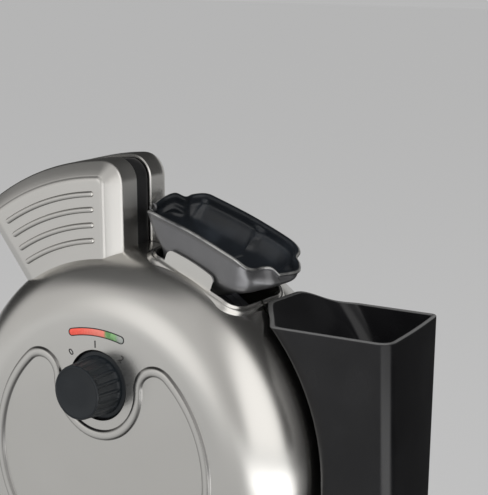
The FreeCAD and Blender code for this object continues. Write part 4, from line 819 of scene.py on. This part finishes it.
lens_finish, lens_place = finish_of("tinted_window")
sides = lens_place.node("ShaderNodeSeparateXYZ", values={0: lens_place})
split = (SHELL_AXIS[0] + 6.5) / 1000
end = (SHELL_AXIS[0] + 14.5) / 1000
red_to_green = sides.between(split - 0.0012, split + 0.0012)
to_clear = sides.between(end - 0.0015, end + 0.0025)
speckle = lens_place.node("ShaderNodeTexNoise", values={"Vector": lens_place, "Scale": 260, "Detail": 2})
# Painted glow: the red turns paler towards its right end.
left_glow = sides.between((SHELL_AXIS[0] - 17) / 1000, split)
red = left_glow.blend((0.86, 0.09, 0.055, 1), (0.80, 0.22, 0.17, 1))
green = speckle.between(0.4, 0.6).blend((0.10, 0.26, 0.08, 1), (0.2, 0.4, 0.16, 1))
tint = to_clear.blend(red_to_green.blend(red, green), (0.33, 0.35, 0.33, 1))
ribs = sides.math("SINE", sides * 6283)
rib_relief = lens_place.node("ShaderNodeBump", values={"Height": ribs, "Strength": 0.3, "Distance": 0.0002})
# The emission makes the whole strip glow, its clear end too: a painted glow of the lamps' light.
principled(lens_place, tint, 0.22 + 0.1 * speckle,
           {"Emission Color": tint, "Emission Strength": 0.18, "Coat Weight": 0.6, "Coat Roughness": 0.05}, rib_relief)
shown("window_strip", mesh_of("window_strip", [window_strip()]), "front_half", "lens", lens_finish,
      "indicator_window", sharp=50)
SEAL = np.array([(-0.05, -0.3), (-0.05, 0.2), (0.1, 0.3), (0.25, 0.33), (0.4, 0.25), (0.48, 0.0), (0.48, -0.3)])
seal_plastic = moulded("seal_plastic", (0.012, 0.012, 0.013, 1), 0.4)
seal_path = window_outline(0)[::-1]
shown("window_seal", mesh_of("window_seal", [swept_ridge(seal_path, SEAL, -FRONT_DEPTH)]), "front_half",
      "black_plastic", seal_plastic)


# Dial numbers: plain numbers printed in dark grey on the steel, 0 for off and 1 and 2 for how brown the waffle is.
def printed(number, x, z, height, lean):
    """A number as a thin flat print, turned to stand round the knob."""
    outline = bpy.data.curves.new(f"dial_number_{number}", "FONT")
    outline.body = number
    outline.size = height * 1.4 / 1000
    outline.align_x = "CENTER"
    outline.align_y = "CENTER"
    outline.extrude = 0.00004
    outline.offset = 0.00009
    written = bpy.data.objects.new(f"writing_{number}", outline)
    bpy.context.scene.collection.objects.link(written)
    mesh = settle(written)
    bpy.data.objects.remove(written)
    place = Vector(((SHELL_AXIS[0] + x) / 1000, (SHELL_AXIS[1] - FRONT_DEPTH - 0.05) / 1000, (SHELL_AXIS[2] + z) / 1000))
    mesh.transform(Matrix.Translation(place) @ Matrix.Rotation(math.radians(lean), 4, "Y")
                   @ Matrix.Rotation(math.radians(90), 4, "X"))
    mesh.materials.clear()
    shown(f"dial_number_{number}", mesh, "front_half", "black_plastic", print_ink)


print_ink = moulded("print_ink", (0.02, 0.02, 0.02, 1), 0.55, 2000, 0.1)
printed("0", -18.6, 62.4, 3.9, -42)
printed("1", -0.9, 69.2, 4.2, 0)
printed("2", 17.6, 63.2, 4.2, 42)


# Caddy: an open box moulded in glossy black that hugs the right side of the machine, with thin walls, a rounded
# rim that rises towards the steel, and a floor screwed to the stand. It takes the cup and the brush.
CADDY_FRONT = -13
CADDY_BACK = 62
CADDY_RIGHT = 166.8
CADDY_INNER = 122.9
CADDY_RISE = 10
CADDY_WALL = 2.2
CADDY_FLOOR = 24.4 - SHELL_AXIS[2]
CADDY_TOP = 269 - SHELL_AXIS[2]


def eased(share):
    """A soft step from 0 to 1."""
    share = np.clip(share, 0, 1)
    return share * share * (3 - 2 * share)


def caddy_loop(level, height, inset):
    """One round of the caddy at a level: right front corner, right side, back, left wall and front.

    height runs from 0 at the floor to 1 at the rim. The left wall lies round the disc, and below the disc's middle
    it drops straight down; its rim rises in the middle. The right side turns in to the rear, more so low down."""
    front, back, right_wall = CADDY_FRONT + inset, CADDY_BACK - inset, CADDY_RIGHT - inset
    far = 146.8 + 9.7 * height - inset
    corner, small, round_back = 7.5 - inset, 3.6 - inset * 0.6, 15 - inset
    lean = math.degrees(math.atan2(right_wall - far, back - front))
    turn = arc((right_wall - corner, front + corner), corner, -90, lean, 12)
    end = arc((far - small - 0.3, back - small), small, lean, 90, 9)
    share = np.linspace(0, 1, 16)[1:-1, None]
    bow = np.sin(math.pi * share) * (0.8, 0)
    side = turn[-1] + share * (end[0] - turn[-1]) + bow
    left = np.concatenate([arc((round_back, back - round_back), round_back, 90, 180, 14),
                           np.stack([np.zeros(24), np.linspace(back - round_back, front + small, 26)[1:-1]], -1),
                           arc((small, front + small), small, 180, 270, 8)])
    rise = CADDY_RISE * eased((left[:, 1] - CADDY_FRONT) / 17) * (1 - eased((left[:, 1] - 30) / 32))
    z_left = level + rise * eased((height - 0.8) / 0.2)
    beside = np.sqrt(np.maximum((CADDY_INNER + inset) ** 2 - np.maximum(z_left, 0) ** 2, 1))
    left = left + np.stack([beside, 0 * beside], axis=-1)
    plan = np.concatenate([turn, side, end, end[-1] + share * (left[0] - end[-1]), left,
                           left[-1] + share * (turn[0] - left[-1])])
    z = np.full(len(plan), level)
    start = len(turn) + len(side) + len(end) + len(share)
    z[start:start + len(left)] = z_left
    return np.stack([plan[:, 0], plan[:, 1], z], axis=-1)


def caddy_rows(heights, inset, low):
    """Rounds of the caddy from the floor to the rim."""
    return np.stack([caddy_loop(low + (CADDY_TOP - low) * height, height, inset) for height in heights])


CADDY_LEVELS = np.concatenate([np.linspace(0, 0.985, 33), [0.998, 1]])
outer_rows = caddy_rows(CADDY_LEVELS, 0, CADDY_FLOOR)
inner_rows = caddy_rows(CADDY_LEVELS[::-1], CADDY_WALL, CADDY_FLOOR + CADDY_WALL)
edge = [caddy_rows([1], inset, CADDY_FLOOR)[0] + (0, 0, lift) for inset, lift in
        ((0.12, 0.45), (0.5, 0.85), (1.1, 1.0), (1.7, 0.85), (2.08, 0.45))]
caddy_grid = np.concatenate([outer_rows, np.stack(edge), inner_rows])
caddy_grid[0, :, 2] = CADDY_FLOOR
caddy_count = caddy_grid.shape[1]
caddy_last = caddy_count * (len(caddy_grid) - 1)
# Painted highlight: the rim's rounded rows are marked for a lighter grey in the finish.
caddy_rim_painted_highlight = np.repeat([0.0, 1.0, 0.0], [len(outer_rows), len(edge), len(inner_rows)])
caddy_mesh = mesh_of("cup_caddy_moulding",
                     [with_ends(net(caddy_grid, around=True), range(caddy_count),
                                range(caddy_last + caddy_count - 1, caddy_last - 1, -1))],
                     mark=np.repeat(caddy_rim_painted_highlight, caddy_count))
# 0.13 is the grey of the painted highlight along the caddy's rim.
gloss_plastic = moulded("gloss_plastic", (0.008, 0.008, 0.009, 1), 0.15, 260, 0.04, 0.0, 0.13, 0.42)
shown("cup_caddy_moulding", caddy_mesh, "stand", "gloss_black", gloss_plastic, "cup_caddy", sharp=40)


# Grip liners: the black mouldings between the two handle shells, which keep the fingers off hot steel.
def dress(finish, *nodes):
    """Give CAD nodes whose shape is right a finish."""
    for node in nodes:
        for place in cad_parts[node].material_slots:
            place.material = finish


dress(moulded("grip_plastic", (0.011, 0.011, 0.012, 1), 0.4, 1100, 0.3), "front_grip_liner", "rear_grip_liner")


# Dial carrier and lamps: a black tray behind the face that holds the thermostat's bush and two small lamps.
def glowing(name, colour):
    """A lamp's coloured plastic, a little brighter in the middle of its grain."""
    made, place = finish_of(name)
    cloud = place.node("ShaderNodeTexNoise", values={"Vector": place, "Scale": 400, "Detail": 2})
    bright = tuple(min(1, c * 1.5 + 0.03) for c in colour[:3]) + (1,)
    tinted = cloud.blend(colour, bright)
    principled(place, tinted, 0.2 + 0.15 * cloud, {"Emission Color": tinted, "Emission Strength": 0.4})
    return made


dress(moulded("carrier_plastic", (0.014, 0.014, 0.015, 1), 0.5, 800, 0.3), "dial_carrier")
dress(glowing("red_lamp_plastic", (0.75, 0.04, 0.02, 1)), "heating_lamp")
dress(glowing("green_lamp_plastic", (0.05, 0.5, 0.09, 1)), "ready_lamp")


# Thermostat, spindle, screws and hinge bracket: small steel parts plated with zinc, which shows as faint spangles.
def plated(name, colour, rough):
    """Zinc plating: a cool grey metal in crystals of slightly different shade, with fine scratches."""
    made, place = finish_of(name)
    crystal = place.node("ShaderNodeTexVoronoi", values={"Vector": place, "Scale": 420}, out="Distance")
    scratch = place.node("ShaderNodeTexNoise", values={"Vector": place, "Scale": 1800, "Detail": 4, "Distortion": 2})
    darker = tuple(c * 0.78 for c in colour[:3]) + (1,)
    bump = place.node("ShaderNodeBump", values={"Height": scratch, "Strength": 0.15, "Distance": 0.0001})
    principled(place, crystal.between(0.1, 0.7).blend(colour, darker), rough + 0.18 * crystal, {"Metallic": 1}, bump)
    return made


zinc = plated("zinc_plating", (0.56, 0.57, 0.58, 1), 0.3)
dress(zinc, "thermostat", "thermostat_spindle", "hinge_bracket", "plate_screws_front", "plate_screws_rear",
      "cover_screws", "caddy_screws")


# Hinge pin, latch and fuse case: bright drawn steel. The latch hooks the two handle shells together at their left end.
bright = plated("bright_steel", (0.72, 0.72, 0.73, 1), 0.14)
dress(bright, "hinge_pin", "latch_bracket", "latch_pin", "latch_hasp", "latch_catch", "thermal_fuse")


# Waffle plates: aluminium castings with a grid of studs and half of the batter slot each, coated against sticking.
plate_coating = coated("plate_coating", (0.035, 0.036, 0.04, 1), 0.36, 0.2)
dress(plate_coating, "front_waffle_plate", "rear_waffle_plate")


# Heating elements: steel tubes bent to a ring behind each plate, tinted brown and blue by their own heat.
tube_finish, tube_place = finish_of("heat_tinted_tube")
tint_cloud = tube_place.node("ShaderNodeTexNoise", values={"Vector": tube_place, "Scale": 35, "Detail": 5})
tints = [(0.0, (0.30, 0.27, 0.25, 1)), (0.42, (0.27, 0.19, 0.13, 1)), (0.55, (0.16, 0.15, 0.21, 1)),
         (1.0, (0.36, 0.35, 0.34, 1))]
tinted = tube_place.node("ShaderNodeValToRGB", {"stops": tints}, {0: tint_cloud})
principled(tube_place, tinted, 0.32 + 0.25 * tint_cloud, {"Metallic": 1})
dress(tube_finish, "front_heating_element", "rear_heating_element")


# Heat shields: thin pans of bare aluminium sheet with the long fine lines of rolling.
shield_finish, shield_place = finish_of("rolled_sheet")
rolled = shield_place.node("ShaderNodeMapping", values={"Vector": shield_place, "Scale": (12, 900, 900)})
lines = rolled.node("ShaderNodeTexNoise", values={"Vector": rolled, "Scale": 1, "Detail": 4})
stains = shield_place.node("ShaderNodeTexNoise", values={"Vector": shield_place, "Scale": 18, "Detail": 4})
sheet_bump = shield_place.node("ShaderNodeBump", values={"Height": lines, "Strength": 0.2, "Distance": 0.0001})
principled(shield_place, stains.between(0.35, 0.7).blend((0.72, 0.72, 0.73, 1), (0.56, 0.54, 0.50, 1)),
           0.28 + 0.2 * lines, {"Metallic": 1}, sheet_bump)
dress(shield_finish, "front_heat_shield", "rear_heat_shield")


# Terminal block: an unglazed ceramic block that the leads end in.
ceramic, ceramic_place = finish_of("unglazed_ceramic")
specks = ceramic_place.node("ShaderNodeTexNoise", values={"Vector": ceramic_place, "Scale": 900, "Detail": 3})
ceramic_bump = ceramic_place.node("ShaderNodeBump", values={"Height": specks, "Strength": 0.3, "Distance": 0.0002})
principled(ceramic_place, specks.between(0.4, 0.7).blend((0.80, 0.78, 0.72, 1), (0.68, 0.64, 0.56, 1)),
           0.7 + 0.15 * specks, {}, ceramic_bump)
dress(ceramic, "terminal_block")


# Stand: a glossy black moulding with a saddle for the rear half and two lugs for the hinge pin, closed from below
# by a plain cover. Four rubber feet, two rubber stops for the open front half and a rubber cord bush finish it.
dress(gloss_plastic, "base_housing")
dress(moulded("cover_plastic", (0.013, 0.013, 0.014, 1), 0.5, 500, 0.35), "base_bottom_cover")
dress(moulded("soft_rubber", (0.022, 0.022, 0.022, 1), 0.75, 700, 0.4), "rubber_feet", "stop_pads", "cord_gland")


bpy.context.view_layer.update()
